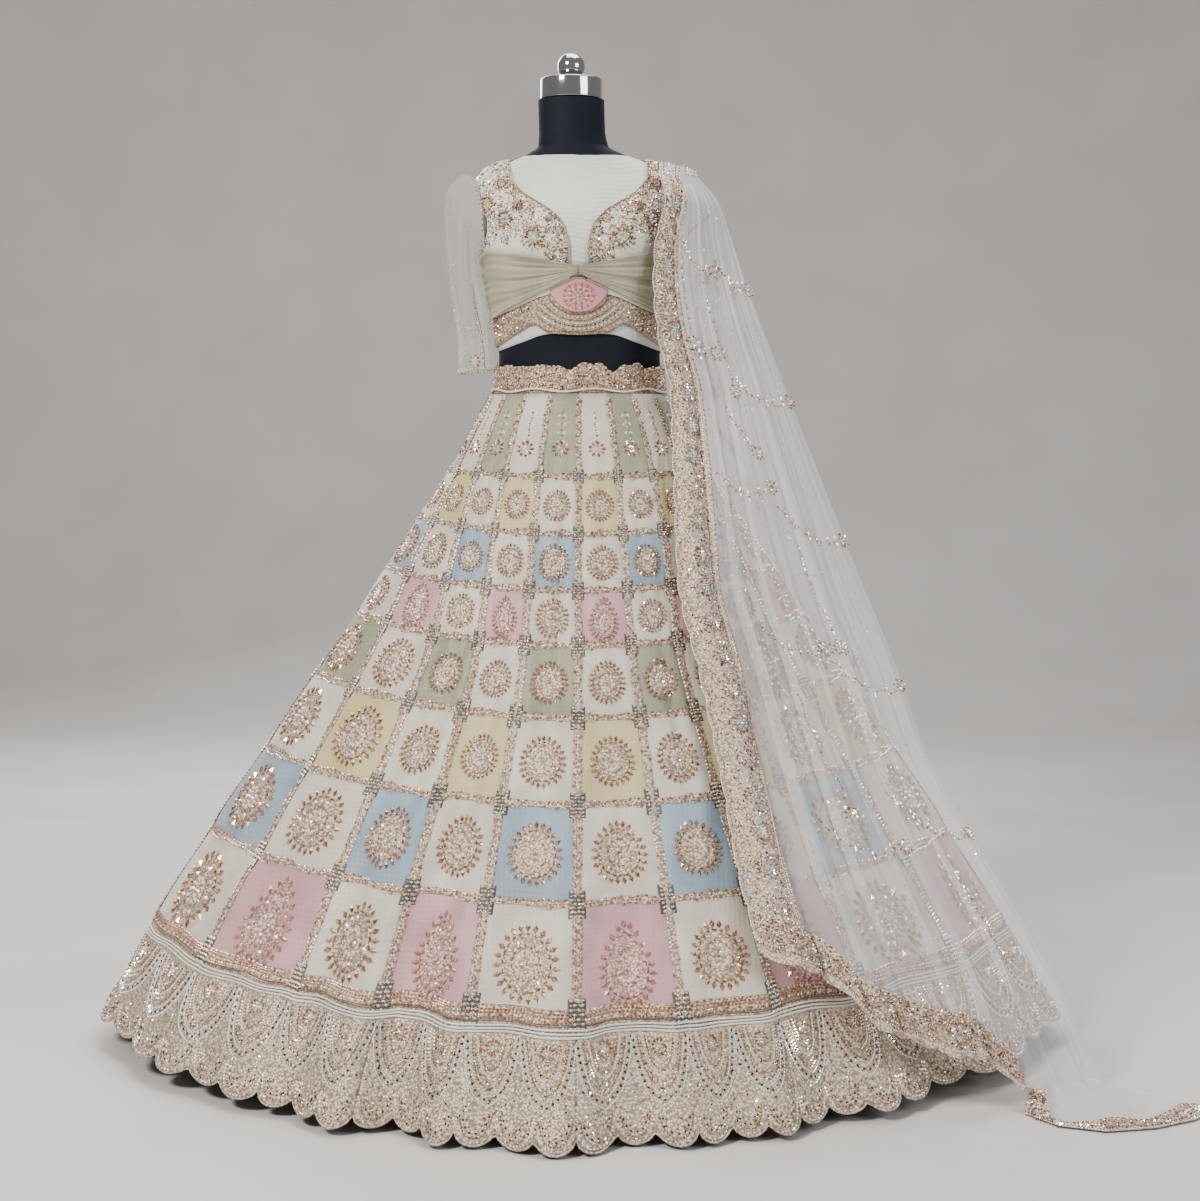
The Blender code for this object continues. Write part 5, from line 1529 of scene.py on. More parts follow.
def make_lower_border_beads():
    """A tier along the hem, three scallops to a gore, and loose beads over the whole border."""
    lower = Beads("border_beads_lower")
    thirds = (np.arange(GORES * SCALLOPS_PER_GORE) + 0.5) / SCALLOPS_PER_GORE - GORES / 2
    elements = []
    for half, tall, tones in (
        (0.0298, 0.0370, [SILVER, PEARL]),
        (0.0252, 0.0310, [GOLD]),
        (0.0206, 0.0250, [SILVER, DARK]),
        (0.0158, 0.0190, [PEARL, GOLD]),
    ):
        elements += scallop_of(half, tall, 0.0050, 0.0026, 0.0019, tones, tip=0.06)
    _, _, along_u, _ = frames(skirt_point, thirds, 0.97 + 0.0 * thirds)
    scale = np.linalg.norm(along_u, axis=-1) / SCALLOPS_PER_GORE / 0.0620
    motif(lower, skirt_point, thirds, 0.9610 + 0.0 * thirds, elements, scale, 1.0, lift=ON_SKIRT)
    count = 7200
    gores = rng.uniform(-GORES / 2, GORES / 2, count)
    share = rng.uniform(0.0, 1.0, count) ** 0.75
    downs = BORDER_BEADS_TOP + (scallop_line(gores) - 0.004 - BORDER_BEADS_TOP) * share
    tones = [GOLD, SILVER, ROSE, DARK, PEARL]
    scattered(
        lower, skirt_point, gores, downs, ON_SKIRT, tones, [0.28, 0.36, 0.12, 0.06, 0.18], 0.0017,
        0.0029,
    )
    lower.build()


CORD_RADIUS = 0.0017
HEM_CORD_RADIUS = 0.0019


def make_border_cords():
    """Three thick white cords side by side over the border, and one along the hem."""
    gores = np.linspace(-GORES / 2, GORES / 2, 640, endpoint=False)
    for number, below in enumerate((0.0058, 0.0098, 0.0138)):
        sway = 0.0006 * np.sin(gores * 5.0 + number)
        place = lifted(skirt_point, CLOTH + 0.0014)(gores, BORDER_DOWN + below + sway)
        node = "skirt_border_cord" if number == 0 else None
        cord_along(f"border_cord_{number + 1}", place, CORD_RADIUS, 5, "cord", node)
    place = lifted(skirt_point, CLOTH * 0.5)(gores, scallop_line(gores) - 0.0008)
    cord_along("hem_cord", place, HEM_CORD_RADIUS, 5, "border")


def make_waistband():
    gores = np.linspace(-GORES / 2, GORES / 2, 280, endpoint=False)[None, :]
    levels = np.linspace(0.0, 1.0, 14)[:, None]
    cloth(
        "waistband_net", band_point, gores, levels, BAND_OUT, CLOTH, ["ruffle"], "skirt_waistband",
        closed=True,
    )
    turns = np.linspace(-GORES / 2, GORES / 2, 420, endpoint=False)
    z = WAIST_PIPING_Z + 0.0022 * np.sin(turns * math.tau / GORES * 9)
    place = form_point(turns * math.tau / GORES, z)
    place = place + outward_of(place) * (BAND_OUT + CLOTH + SEAM_GAP + PIPING_RADIUS)
    cord_along("waist_cord", place, CORD_RADIUS, 6, "cord", "skirt_waist_piping")
    beads = Beads("waistband_beads")
    line = np.linspace(-GORES / 2, GORES / 2, 900)
    small = (0.0022, 0.0014, 0.0012)
    for level, tones in (
        (0.03, [PEARL, GOLD]), (0.44, [GOLD]), (0.56, [GOLD, SILVER]), (0.70, [GOLD]),
        (0.82, [GOLD, ROSE]),
    ):
        wavy = level + 0.025 * np.sin(line * math.tau / GORES * 28 + 9.0 * level)
        strand(beads, band_point, line, wavy, 0.0042, small, tones, BAND_OUT + CLOTH + 0.0005)
    count = 2600
    gores = rng.uniform(-GORES / 2, GORES / 2, count)
    downs = rng.uniform(0.04, 0.90, count)
    tones = [GOLD, SILVER, PEARL, ROSE, DARK]
    scattered(
        beads, band_point, gores, downs, BAND_OUT + CLOTH + 0.0005, tones,
        [0.44, 0.28, 0.12, 0.10, 0.06], 0.0014, 0.0026,
    )
    beads.build()


# Blouse


WRINKLE = 0.0003
YOKE_CRINKLE = 0.0004


def blouse_point(angle, z):
    """The form's surface with the blouse's slight wrinkles, which only stand out."""
    base = form_point(angle, z)
    wrinkle = WRINKLE * (1.0 + np.sin(34.0 * angle + 90.0 * z) * np.cos(11.0 * angle - 60.0 * z))
    return base + outward_of(base) * wrinkle[..., None]


def panel_grid(front, side, columns, rows):
    """The angles and heights of a front or back panel of the blouse."""
    lowest_middle = PANEL_BOTTOM[0].z if front else PANEL_BOTTOM[-1].z
    heights = np.linspace(PANEL_TOP, lowest_middle, rows + 1)[:, None]
    shares = np.linspace(0.0, 1.0, columns + 1)[None, :]
    if front:
        inner = form_angle(curve_through(NECKLINE, "z", "x", heights), heights)
        outer = math.pi / 2 - armhole_inset(heights) - SIDE_SEAM_ANGLE
        angle = inner + (outer - inner) * shares
    else:
        neck_x = np.maximum(curve_through(BACK_NECKLINE, "z", "x", heights), BACK_SEAM_HALF)
        inner = math.pi - form_angle(neck_x, heights)
        outer = math.pi / 2 + armhole_inset(heights) + SIDE_SEAM_ANGLE
        angle = outer + (inner - outer) * shares
    lowest = line_height(PANEL_BOTTOM, angle[-1:]) + SEAM_GAP
    share_down = (PANEL_TOP - heights) / (PANEL_TOP - heights[-1])
    z = heights + (lowest - heights[-1]) * share_down**3
    return side * angle, z


def make_panels_of_blouse():
    for front, side, name, node in (
        (True, 1, "front_left_cloth", "choli_front_left"),
        (True, -1, "front_right_cloth", "choli_front_right"),
        (False, 1, "back_left_cloth", "choli_back_left"),
        (False, -1, "back_right_cloth", "choli_back_right"),
    ):
        angle, z = panel_grid(front, side, 34, 60)
        cloth(
            name, blouse_point, angle, z, PANEL_OUT, CLOTH, ["blouse"], node,
        )


def make_blouse_hem():
    """The beaded band in two lengths, and the net that shows below it."""
    quarter = math.pi / 2
    for name, node, first, last in (
        ("hem_band_front", "choli_band_front", -quarter + BAND_END_ANGLE, quarter - BAND_END_ANGLE),
        (
            "hem_band_back", "choli_band_back", quarter + BAND_END_ANGLE,
            3 * quarter - BAND_END_ANGLE,
        ),
    ):
        angle = np.linspace(first, last, 101)[None, :]
        top = line_height(PANEL_BOTTOM, angle)
        bottom = line_height(BAND_HEM, angle)
        z = top - BAND_SEAM + (bottom - top) * np.linspace(0.0, 1.0, 12)[:, None]
        cloth(
            name, form_point, angle, z, PANEL_OUT, CLOTH, ["band"], node,
        )
    angle = np.linspace(0.0, math.tau, 180, endpoint=False)[None, :]
    z = LINING_TOP + (line_height(LINING_HEM, angle) - LINING_TOP) * np.linspace(0.0, 1.0, 12)[:, None]
    cloth(
        "hem_net", form_point, angle, z, LINING_OUT, NET, ["lining"], "choli_lining_hem",
        closed=True,
    )


def make_yoke():
    """The crinkled net that fills the neckline."""
    heights = np.linspace(YOKE_TOP, YOKE_BOTTOM, 140)[:, None]
    reach = form_angle(curve_through(NECKLINE, "z", "x", heights) + YOKE_UNDER, heights)
    reach = np.minimum(reach, YOKE_REACH)
    angle = reach * np.linspace(-1.0, 1.0, 41)[None, :]

    def crinkled(turn, z):
        base = form_point(turn, z)
        fine = YOKE_CRINKLE * (1.0 + np.sin(930.0 * z + 2.2 * np.sin(5.0 * turn) + np.sin(17.0 * turn)))
        return base + outward_of(base) * fine[..., None]

    cloth(
        "yoke_cloth", crinkled, angle, heights, YOKE_OUT, NET * 0.6, ["yoke"], "choli_yoke_net",
    )


def make_drapes_and_gusset():
    for side, name, node in (
        (1, "drape_cloth_left", "choli_drape_left"), (-1, "drape_cloth_right", "choli_drape_right"),
    ):
        angle = np.linspace(0.0, DRAPE_END, 71)[None, :]
        low = drape_line(angle, "lower")
        high = drape_line(angle, "upper")
        z = high + (low - high) * np.linspace(0.0, 1.0, 64)[:, None]
        cloth(
            name, drape_point, side * angle, z, 0.0, CLOTH * 0.8, ["drape"], node,
        )
    angle = np.linspace(-GUSSET_HALF, GUSSET_HALF, 41)[None, :]
    z = gusset_height(angle, np.linspace(0.0, 1.0, 20)[:, None])
    cloth(
        "gusset_cloth", form_point, angle, z, DRAPE_OUT, CLOTH, ["gusset"], "choli_gusset",
    )


def make_sleeves():
    for rings, side, name, node in (
        (RIGHT_SLEEVE, -1, "sleeve_net_right", "choli_sleeve_right"),
        (LEFT_SLEEVE, 1, "sleeve_net_left", "choli_sleeve_left"),
    ):
        turns = np.linspace(0.0, math.tau, 168, endpoint=False)[None, :]
        levels = np.linspace(0.0, float(len(rings)), 9 * len(rings) + 1)[:, None]
        tube = sleeve_tube(rings, side)
        cloth(
            name, tube, turns, levels, 0.0, 0.0, ["sleeve"], node,
            closed=True,
        )


def gusset_height(angle, share):
    top = drape_line(angle, "lower") - GUSSET_SEAM
    rise = drape_line(GUSSET_HALF, "lower") - GUSSET_SIDE - GUSSET_BOTTOM
    bottom = GUSSET_BOTTOM + rise * (np.abs(angle) / GUSSET_HALF) ** GUSSET_CURVE
    return top + (bottom - top) * share


def panel_scatter(side, count):
    """Random places on a front panel, crowded into clusters, down to a ragged lower edge."""
    x = rng.uniform(0.014, 0.152, count)
    z = rng.uniform(1.160, 1.326, count)
    neck = curve_through(NECKLINE, "z", "x", z) + 0.004
    ragged = 0.006 * np.sin(230.0 * x) + 0.004 * np.sin(610.0 * x + 1.0)
    lowest = 1.170 + 0.038 * smooth_step((x - 0.030) / 0.040) + ragged
    patchy = np.sin(230.0 * x + 3.0 * np.sin(140.0 * z)) * np.sin(210.0 * z + 2.0 * np.sin(190.0 * x))
    angle = form_angle(x, z)
    inside = angle < math.pi / 2 - armhole_inset(z) - 0.04
    kept = (x > neck) & (z > lowest) & inside & (patchy > rng.uniform(-0.9, 0.1, count))
    return side * angle[kept], z[kept]


ON_PANEL = PANEL_OUT + CLOTH + 0.0008
ON_BAND = PANEL_OUT + CLOTH + 0.0006
ON_GUSSET = DRAPE_OUT + CLOTH + 0.0006
SMALL_BEAD = (0.0018, 0.0012, 0.0011)
FINE_BEAD = (0.0017, 0.0009, 0.0011)
BLOUSE_TONES = [GOLD, SILVER, PEARL, ROSE, DARK]
BLOUSE_WEIGHTS = [0.40, 0.28, 0.18, 0.08, 0.06]
Bloom = namedtuple("Bloom", "x z tone size")
BLOOMS = [
    Bloom(0.132, 1.264, YELLOW, 1.5),
    Bloom(0.1055, 1.239, BLUE, 1.5),
    Bloom(0.063, 1.210, GREEN, 1.6),
    Bloom(0.112, 1.292, PINK, 1.0),
    Bloom(0.086, 1.256, ROSE, 1.0),
]
NECKLINE_FLOWERS = [PEARL, PINK, YELLOW, PEARL, PINK, BLUE, PEARL, BLUE]
HEM_MIDDLE_Z = 1.0735
Arc = namedtuple("Arc", "step tones width")
ARCS = [
    Arc(0.05, [GOLD], 0.0010),
    Arc(0.20, [PEARL, SILVER], 0.0013),
    Arc(0.35, [GOLD], 0.0010),
    Arc(0.50, [PEARL], 0.0013),
    Arc(0.63, [SILVER, DARK], 0.0012),
    Arc(0.78, [SILVER, PEARL], 0.0020),
    Arc(0.93, [GOLD], 0.0012),
]


def bead_front_panel(beads, side):
    """Three rows along the neckline, and a crowded scatter over the bust."""
    heights = np.linspace(1.326, 1.166, 260)
    neck_x = curve_through(NECKLINE, "z", "x", heights)
    for inset, tones in ((0.0012, [ROSE]), (0.0036, [GOLD]), (0.0064, [SILVER, GOLD])):
        angle = side * form_angle(neck_x + inset, heights)
        strand(
            beads, blouse_point, angle, heights, 0.0030, (0.0018, 0.0009, 0.0012), tones, ON_PANEL,
        )
    angle, z = panel_scatter(side, 5600)
    scattered(beads, blouse_point, angle, z, ON_PANEL, BLOUSE_TONES, BLOUSE_WEIGHTS, 0.0015, 0.0028)
    flower_at = np.linspace(0.06, 0.92, len(NECKLINE_FLOWERS))
    z = np.interp(flower_at, np.linspace(0, 1, len(heights)), heights)
    angle = form_angle(curve_through(NECKLINE, "z", "x", z) + 0.0120, z)
    for index, tone in enumerate(NECKLINE_FLOWERS):
        petals = ring_of(6, 0.0034, 0.0022, 0.0017, tone, 0.0020)
        petals += ring_of(9, 0.0066, 0.0020, 0.0011, GOLD, 0.0014)
        petals += stone(0.0016, 0.0024, SILVER)
        motif(beads, blouse_point, side * angle[index], z[index], petals, lift=ON_PANEL + 0.0008)


def bead_blooms(beads, side):
    """The larger flowers on a front panel, and the sprig that runs down to the centre."""
    for bloom in BLOOMS:
        petals = ring_of(7, 0.0034, 0.0024, 0.0017, bloom.tone, 0.0020)
        petals += ring_of(12, 0.0072, 0.0026, 0.0012, GOLD, 0.0016)
        petals += ring_of(14, 0.0106, 0.0022, 0.0012, SILVER, 0.0014)
        turn = side * form_angle(bloom.x, bloom.z)
        motif(
            beads, blouse_point, turn, bloom.z, petals, bloom.size, bloom.size,
            lift=ON_PANEL + 0.001,
        )
    vine = np.linspace(0.0, 1.0, 60)
    z = 1.206 - 0.022 * vine
    angle = side * form_angle(0.066 - 0.036 * vine + 0.004 * np.sin(9.0 * vine), z)
    strand(beads, blouse_point, angle, z, 0.0034, SMALL_BEAD, [GOLD], ON_PANEL)
    leaves = [
        Element(0.004 * way, 0.0, 0.9 * way, 0.0036, 0.0016, 0.0012, SILVER)
        for way in (-1, 1)
    ]
    motif(beads, blouse_point, angle[6::9], z[6::9], leaves, lift=ON_PANEL)


def bead_hem_band(beads):
    """Rows along the hem band's edges, a scatter between them, and arcs under the gusset."""
    band = np.radians(np.linspace(-88, 88, 400))
    for share, tones in ((0.05, [SILVER, GOLD]), (0.95, [GOLD])):
        for part in (band, band + math.pi):
            top = line_height(PANEL_BOTTOM, part)
            z = top + (line_height(BAND_HEM, part) - top) * share
            strand(beads, form_point, part, z, 0.0040, (0.0021, 0.0013, 0.0011), tones, ON_BAND)
    turn = rng.uniform(-math.pi, math.pi, 2600)
    turn = turn[(np.abs(turn) > math.radians(33)) & (np.abs(np.abs(turn) - math.pi / 2) > 0.02)]
    top = line_height(PANEL_BOTTOM, turn)
    z = top + (line_height(BAND_HEM, turn) - top) * rng.uniform(0.08, 0.92, len(turn))
    scattered(beads, form_point, turn, z, ON_BAND, BLOUSE_TONES, BLOUSE_WEIGHTS, 0.0013, 0.0024)
    sweep = np.linspace(-1.0, 1.0, 240)
    start = GUSSET_BOTTOM - 0.0020
    for arc in ARCS:
        angle = np.radians(19.0 + 11.5 * arc.step) * sweep
        under = start - (start - HEM_MIDDLE_Z) * arc.step
        rise = (0.024 + 0.002 * arc.step) * np.abs(sweep) ** 2.3
        size = (0.0020, arc.width, 0.0011)
        strand(beads, form_point, angle, under + rise, 0.0032, size, arc.tones, ON_BAND + 0.0004)


def bead_gusset(beads):
    """The gusset's outline, and one round flower on it."""
    inner = np.linspace(-GUSSET_HALF, GUSSET_HALF, 160)
    for share in (0.0, 1.0):
        z = gusset_height(inner, np.full_like(inner, share)) + (0.001 if share else -0.001)
        strand(beads, form_point, inner, z, 0.0030, FINE_BEAD, [ROSE, GOLD], ON_GUSSET)
    flower = stone(0.0026, 0.0024, SILVER)
    flower += ring_of(7, 0.0046, 0.0026, 0.0018, SILVER, 0.0020)
    flower += ring_of(10, 0.0094, 0.0034, 0.0016, ROSE, 0.0014)
    flower += ring_of(10, 0.0092, 0.0026, 0.0014, PEARL, 0.0018, start=0.3)
    flower += ring_of(14, 0.0150, 0.0034, 0.0016, ROSE, 0.0014)
    flower += ring_of(14, 0.0160, 0.0020, 0.0014, SILVER, 0.0018, start=0.22)
    motif(beads, form_point, 0.0, 1.1285, flower, 1.35, 1.2, lift=DRAPE_OUT + CLOTH + 0.0008)


def bead_back_neckline(beads):
    heights = np.linspace(1.322, 1.287, 60)
    neck_x = np.maximum(curve_through(BACK_NECKLINE, "z", "x", heights), 0.001)
    edge = form_angle(neck_x + 0.002, heights)
    for side in (1, -1):
        turns = side * (math.pi - edge)
        for step in range(3):
            z = heights - 0.0055 * step
            strand(beads, blouse_point, turns, z, 0.0040, SMALL_BEAD, [GOLD, PEARL], ON_PANEL)


def make_blouse_beads():
    beads = Beads("blouse_beads")
    for side in (1, -1):
        bead_front_panel(beads, side)
        bead_blooms(beads, side)
    bead_hem_band(beads)
    bead_gusset(beads)
    bead_back_neckline(beads)
    beads.build()


def make_sleeve_beads():
    beads = Beads("sleeve_beads")
    small = (0.0016, 0.0011, 0.0010)
    for rings, side in ((RIGHT_SLEEVE, -1), (LEFT_SLEEVE, 1)):
        tube = sleeve_tube(rings, side)
        turns = np.linspace(0.0, math.tau, 400)
        last = float(len(rings))
        for level, tones in (
            (last - 0.06, [GOLD]), (last - 0.22, [PEARL, SILVER]), (0.25, [GOLD, PEARL]),
        ):
            strand(beads, tube, turns, level + 0.0 * turns, 0.0042, small, tones, 0.0008)
    tube = sleeve_tube(RIGHT_SLEEVE, -1)
    levels = np.linspace(4.4, 8.8, 160)
    for offset, tones in ((0.0, [SILVER, GOLD]), (0.10, [GOLD])):
        turns = 2.1 + offset + 0.10 * np.sin(levels)
        strand(beads, tube, turns, levels, 0.0042, (0.0022, 0.0015, 0.0012), tones, 0.0008)
    cluster = ring_of(
        7, 0.0052, 0.0036, 0.0022, PEARL, 0.0018,
    ) + ring_of(10, 0.0100, 0.0028, 0.0018, GOLD, 0.0014)
    motif(beads, tube, [1.75], [8.3], cluster, 1.0, 1.0, lift=0.0010)
    count = 150
    turns = rng.uniform(0.0, math.tau, count)
    scattered(
        beads, tube, turns, rng.uniform(2.0, 8.8, count), 0.0008, [SILVER, PEARL], [0.6, 0.4],
        0.0012, 0.0019,
    )
    beads.build()


# Veil

VEIL_BORDER = 0.078
VEIL_BORDER_TOP = 0.036
VEIL_OUT = 0.0005
EDGE_OUT = 0.0009
FOLD_OUT = 0.0011
EDGE_PITCH = 0.044
EDGE_SCALLOP = 0.0075
LOWER_EDGE = 0.058
SIDE_EDGE_SHARE = 0.16
FLOOR_EDGE_SHARE = 0.22
VEIL_TONES = [GOLD, SILVER, PEARL, ROSE, DARK]
VEIL_WEIGHTS = [0.32, 0.34, 0.20, 0.08, 0.06]


def make_veil():
    shares = np.linspace(0.0, 1.0, 181)[None, :]
    end = curve_through(FRONT_END, "across", "z", shares)
    top = FRONT_FALL[0].z
    z = top + (end - top) * np.linspace(0.0, 1.0, 121)[:, None]
    cloth(
        "veil_front", front_fall, shares, z, VEIL_OUT, 0.0, ["veil"], "dupatta_front",
    )
    shares = np.linspace(1.0, 0.0, 111)[None, :]
    z = np.linspace(BACK_FALL[0].z, BACK_END_Z, 71)[:, None]
    cloth(
        "veil_back", back_fall, shares, z, VEIL_OUT, 0.0, ["veil"], "dupatta_back",
    )
    shares = np.linspace(0.0, 1.0, 121)[None, :]
    turns = np.linspace(1.0, 0.0, 41)[:, None]
    cloth(
        "veil_shoulder", over_shoulder, shares, turns, VEIL_OUT, 0.0, ["veil"], "dupatta_shoulder",
    )
    shares = np.linspace(0.0, 1.0, 91)[None, :]
    outs = np.linspace(0.0, 1.0, 31)[:, None]
    cloth(
        "veil_floor_end", floor_end, shares, outs, VEIL_OUT, 0.0, ["veil"], "dupatta_tail",
        up=True,
    )


def make_veil_folds():
    """Folds where the net lies double: narrow strips along the fall, wider lower down."""
    NetFold = namedtuple("NetFold", "top_share low_share first last width")
    folds = [
        NetFold(0.30, 0.24, 1.285, 0.30, 0.045),
        NetFold(0.46, 0.38, 1.290, 0.22, 0.055),
        NetFold(0.60, 0.52, 1.270, 0.14, 0.050),
        NetFold(0.74, 0.64, 1.290, 0.12, 0.060),
        NetFold(0.86, 0.78, 1.250, 0.10, 0.050),
        NetFold(0.955, 0.950, 1.280, 0.08, 0.045),
    ]
    for number, fold in enumerate(folds):
        t = np.linspace(0.0, 1.0, 90)[:, None]
        z = fold.first + (fold.last - fold.first) * t
        middle = fold.top_share + (fold.low_share - fold.top_share) * t
        middle = middle + 0.010 * np.sin(7.0 * t + number)
        tapered = np.sin(math.pi * np.clip(0.04 + 0.92 * t, 0.0, 1.0)) ** 0.3
        width = fold.width * (0.35 + 0.65 * t) * tapered
        shares = np.clip(middle + width * np.linspace(-0.5, 0.5, 5)[None, :], 0.0, 0.995)
        name = f"veil_fold_{number + 1}"
        cloth(
            name, front_fall, shares, z, FOLD_OUT, 0.0, ["veil"], None,
        )


def edge_share(surface, z, metres):
    """How far across a fall a place lies that is so many metres from its inner edge."""
    _, _, along, _ = frames(surface, 0.02 + 0.0 * z, z)
    return metres / np.linalg.norm(along, axis=-1)


def veil_border_width(z):
    """The beaded border grows wider from the shoulder down."""
    grown = smooth_step((FRONT_FALL[0].z - z) / 0.75)
    return VEIL_BORDER_TOP + (VEIL_BORDER - VEIL_BORDER_TOP) * grown


def make_veil_edge():
    """The thickly beaded border: scalloped along the front edge and the lower edges."""
    top = FRONT_FALL[0].z
    bottom = FRONT_END[0].z
    z = np.linspace(top, bottom, 420)[:, None]
    run = (top - z) / EDGE_PITCH
    scallop = EDGE_SCALLOP * np.abs(np.sin(math.pi * run)) ** 0.6
    narrow = veil_border_width(z)
    across = np.linspace(0.0, 1.0, 9)[None, :]
    metres = -scallop * (1.0 - across) + narrow * across
    shares = edge_share(front_fall, z, metres)
    cloth(
        "veil_edge_front", front_fall, shares, z + 0.0 * shares, EDGE_OUT, 0.0, ["veil_edge"],
        None,
    )
    shares = np.linspace(0.0, TAIL_START, 220)[None, :]
    end = curve_through(FRONT_END, "across", "z", shares)
    rise = LOWER_EDGE * np.linspace(1.0, 0.0, 9)[:, None]
    wave = 0.006 * np.abs(np.sin(math.pi * shares * 14)) ** 0.6
    z = end + rise - wave * (1.0 - rise / LOWER_EDGE)
    cloth(
        "veil_edge_lower", front_fall, shares + 0.0 * z, z, EDGE_OUT, 0.0, ["veil_edge"], None,
    )
    shares = SIDE_EDGE_SHARE * np.linspace(0.0, 1.0, 7)[None, :]
    outs = np.linspace(0.0, 0.80, 60)[:, None]
    name = "veil_edge_side"
    cloth(
        name, floor_end, shares + 0.0 * outs, outs, EDGE_OUT, 0.0, ["veil_edge"], None,
        up=True,
    )
    shares = np.linspace(0.0, 1.0, 120)[None, :]
    outs = 1.0 - FLOOR_EDGE_SHARE * np.linspace(1.0, 0.0, 7)[:, None]
    cloth(
        "veil_edge_floor", floor_end, shares, outs + 0.0 * shares, EDGE_OUT, 0.0, ["veil_edge"],
        None, up=True,
    )


NET_BEAD = (0.0019, 0.0013, 0.0010)
ON_VEIL = 0.0018
ON_GAUZE = 0.0016


def bead_front_edge(beads):
    """Rows, a dense scatter and a flower every few centimetres down the veil's front edge."""
    top = FRONT_FALL[0].z
    lowest = FRONT_END[0].z + 0.010
    z = np.linspace(top, lowest, 900)
    wide = veil_border_width(z)
    scallop = EDGE_SCALLOP * np.abs(np.sin(math.pi * (top - z) / EDGE_PITCH)) ** 0.6
    rows = (
        (0.0, [PEARL]), (0.10, [SILVER, GOLD]), (0.86, [GOLD]), (0.93, [PEARL]),
        (1.0, [GOLD, SILVER]),
    )
    for part, tones in rows:
        share = edge_share(front_fall, z, wide * part - scallop * (1.0 - part) + 0.001)
        strand(beads, front_fall, share, z, 0.0038, NET_BEAD, tones, ON_VEIL)
    count = 3400
    z = top + (lowest - top) * rng.uniform(0.0, 1.0, count) ** 0.85
    share = edge_share(front_fall, z, veil_border_width(z) * rng.uniform(0.08, 0.92, count))
    scattered(beads, front_fall, share, z, ON_VEIL, VEIL_TONES, VEIL_WEIGHTS, 0.0014, 0.0025)
    marks = np.arange(top - EDGE_PITCH, lowest + 0.01, -0.046)
    centre = edge_share(front_fall, marks, 0.56 * veil_border_width(marks))
    for index, tone in enumerate((BLUE, PINK, GREEN, PEARL)):
        petals = ring_of(6, 0.0042, 0.0028, 0.0020, tone, 0.0022) + stone(0.0026, 0.0034, tone)
        petals += ring_of(10, 0.0086, 0.0034, 0.0018, SILVER, 0.0018)
        petals += ring_of(14, 0.0128, 0.0024, 0.0013, GOLD, 0.0014)
        chosen = slice(index, None, 4)
        motif(beads, front_fall, centre[chosen], marks[chosen], petals, lift=ON_VEIL + 0.0010)


def bead_lower_edge(beads):
    shares = np.linspace(0.0, TAIL_START, 700)
    end = curve_through(FRONT_END, "across", "z", shares)
    rows = (
        (0.003, [PEARL]), (0.012, [GOLD]), (0.024, [SILVER]), (0.038, [GOLD]),
        (0.052, [PEARL, GOLD]),
    )
    for rise, tones in rows:
        strand(beads, front_fall, shares, end + rise, 0.0044, NET_BEAD, tones, ON_VEIL)
    count = 1500
    share = rng.uniform(0.01, TAIL_START, count)
    z = curve_through(FRONT_END, "across", "z", share) + rng.uniform(0.005, 0.054, count)
    scattered(beads, front_fall, share, z, ON_VEIL, VEIL_TONES, VEIL_WEIGHTS, 0.0014, 0.0025)


def bead_floor_edges(beads):
    """The edges of the end on the floor: a scatter, then rows down its side and along its end."""
    count = 900
    out = rng.uniform(0.02, 0.98, count)
    share = np.where(out > 0.80, rng.uniform(0.0, 1.0, count), rng.uniform(0.0, 0.15, count))
    scattered(
        beads, floor_end, share, out, ON_VEIL, VEIL_TONES, VEIL_WEIGHTS, 0.0014, 0.0025, up=True,
    )
    along = np.linspace(0.0, 0.98, 300)
    for share, tones in ((0.012, [PEARL]), (0.080, [GOLD]), (0.155, [PEARL, GOLD])):
        strand(
            beads, floor_end, share + 0.0 * along, along, 0.0044, NET_BEAD, tones, ON_VEIL, up=True,
        )
    shares = np.linspace(0.0, 1.0, 900)
    for out, tones in ((0.985, [PEARL]), (0.94, [GOLD]), (0.88, [SILVER]), (0.80, [PEARL, GOLD])):
        strand(
            beads, floor_end, shares, out + 0.0 * shares, 0.0044, NET_BEAD, tones, ON_VEIL, up=True,
        )


def bead_edge_flowers(beads):
    """Flowers along the lower edge and along the end on the floor."""
    flower = ring_of(6, 0.0050, 0.0034, 0.0022, SILVER, 0.0020) + stone(0.0024, 0.0028, PINK)
    flower += ring_of(10, 0.0100, 0.0026, 0.0014, GOLD, 0.0014)
    shares = np.linspace(0.04, TAIL_START - 0.03, 12)
    z = curve_through(FRONT_END, "across", "z", shares) + 0.030
    motif(beads, front_fall, shares, z, flower, lift=ON_VEIL + 0.0006)
    shares = np.linspace(0.08, 0.92, 8)
    motif(beads, floor_end, shares, 0.90 + 0.0 * shares, flower, lift=ON_VEIL + 0.0006, up=True)


def make_veil_beads():
    beads = Beads("veil_beads")
    bead_front_edge(beads)
    bead_lower_edge(beads)
    bead_floor_edges(beads)
    bead_edge_flowers(beads)
    turns = np.linspace(0.0, 1.0, 80)
    for share in np.linspace(0.06, 0.94, 9):
        tones = [GOLD, PEARL, SILVER]
        strand(beads, over_shoulder, share + 0.0 * turns, turns, 0.0046, NET_BEAD, tones, ON_GAUZE)
    beads.build()


VINES_FRONT_LOWEST = 0.16
VINES_BACK_LOWEST = 0.48


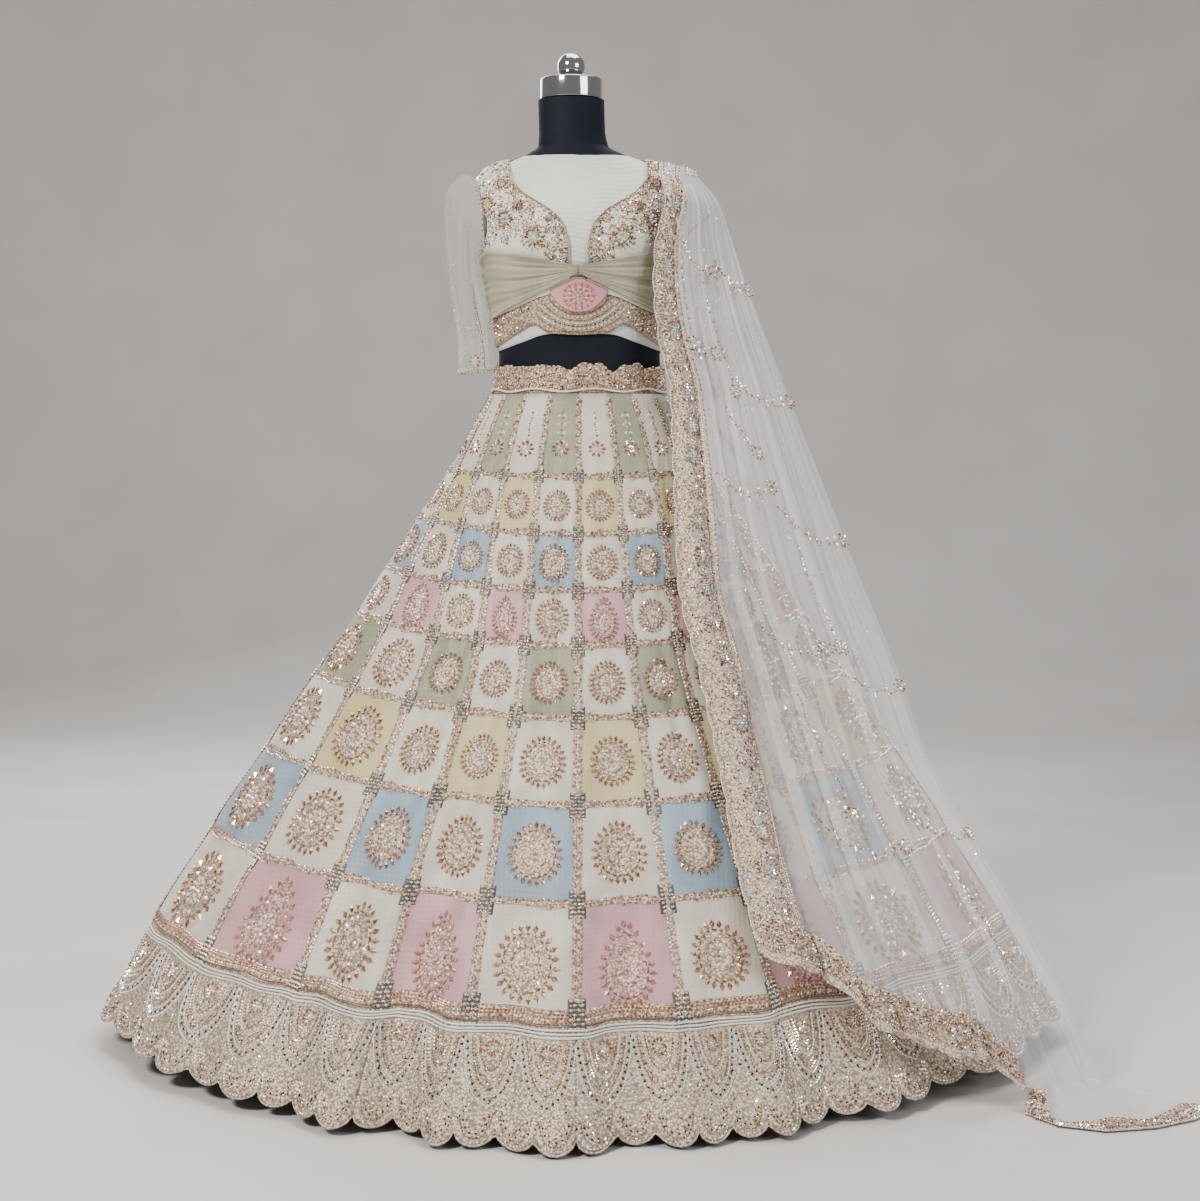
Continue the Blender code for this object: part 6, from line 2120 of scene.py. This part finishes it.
def make_veil_vines():
    """Festoons of beads over the net with a flower at the end of each, and loose dots between."""
    beads = Beads("veil_vines")
    Festoon = namedtuple("Festoon", "first last top bottom sag tone")
    festoons = [
        Festoon(0.24, 0.26, 1.200, 1.060, 0.000, SILVER),
        Festoon(0.26, 0.62, 1.205, 1.165, 0.016, PINK),
        Festoon(0.62, 0.98, 1.180, 1.140, 0.012, SILVER),
        Festoon(0.10, 0.44, 1.075, 1.045, 0.014, SILVER),
        Festoon(0.46, 0.50, 1.150, 0.990, 0.000, GREEN),
        Festoon(0.50, 0.98, 1.010, 0.975, 0.020, BLUE),
        Festoon(0.40, 0.56, 0.965, 0.900, 0.006, SILVER),
        Festoon(0.24, 0.60, 0.870, 0.850, 0.020, GOLD),
        Festoon(0.60, 0.98, 0.820, 0.770, 0.024, SILVER),
        Festoon(0.66, 0.70, 0.765, 0.620, 0.000, PINK),
        Festoon(0.30, 0.62, 0.660, 0.620, 0.024, SILVER),
        Festoon(0.62, 0.98, 0.600, 0.560, 0.024, GOLD),
        Festoon(0.40, 0.46, 0.560, 0.400, 0.000, SILVER),
        Festoon(0.30, 0.64, 0.400, 0.350, 0.026, BLUE),
        Festoon(0.66, 0.98, 0.420, 0.350, 0.026, SILVER),
        Festoon(0.82, 0.84, 0.330, 0.190, 0.000, PINK),
    ]
    size = (0.0024, 0.0018, 0.0013)
    behind = [one for one in festoons if one.bottom > VINES_BACK_LOWEST]
    for surface, some in ((front_fall, festoons), (back_fall, behind)):
        for one in some:
            t = np.linspace(0.0, 1.0, 60)
            share = one.first + (one.last - one.first) * t + 0.006 * np.sin(19.0 * t)
            z = one.top + (one.bottom - one.top) * t - one.sag * np.sin(math.pi * t)
            z = z + 0.003 * np.sin(31.0 * t)
            strand(beads, surface, share, z, 0.0050, size, [GOLD, SILVER, SILVER], ON_GAUZE)
            leaves = [
                Element(0.0, 0.0050 * way, 1.1 * way, 0.0040, 0.0020, 0.0013, SILVER)
                for way in (-1, 1)
            ]
            motif(beads, surface, share[5::9], z[5::9], leaves, lift=ON_GAUZE)
            bloom = ring_of(7, 0.0058, 0.0036, 0.0026, SILVER, 0.0018)
            bloom += ring_of(9, 0.0100, 0.0026, 0.0018, GOLD, 0.0014)
            bloom += stone(0.0028, 0.0028, one.tone)
            motif(beads, surface, share[-1:], z[-1:], bloom, lift=0.0020)
        dots = 260 if surface is front_fall else 120
        lowest = VINES_FRONT_LOWEST if surface is front_fall else VINES_BACK_LOWEST
        share = rng.uniform(0.16, 0.97, dots)
        z = rng.uniform(lowest, 1.26, dots)
        scattered(beads, surface, share, z, 0.0014, [SILVER, PEARL], [0.6, 0.4], 0.0012, 0.0020)
    beads.build()


MATERIALS = make_materials()
make_stage()
make_form()
make_panels()
make_border()
make_braids()
make_seam_beads()
make_row_beads()
make_junction_beads()
make_medallion_beads()
make_upper_border_beads()
make_lower_border_beads()
make_border_cords()
make_waistband()
make_panels_of_blouse()
make_blouse_hem()
make_yoke()
make_drapes_and_gusset()
make_sleeves()
make_blouse_beads()
make_sleeve_beads()
make_veil()
make_veil_folds()
make_veil_edge()
make_veil_beads()
make_veil_vines()
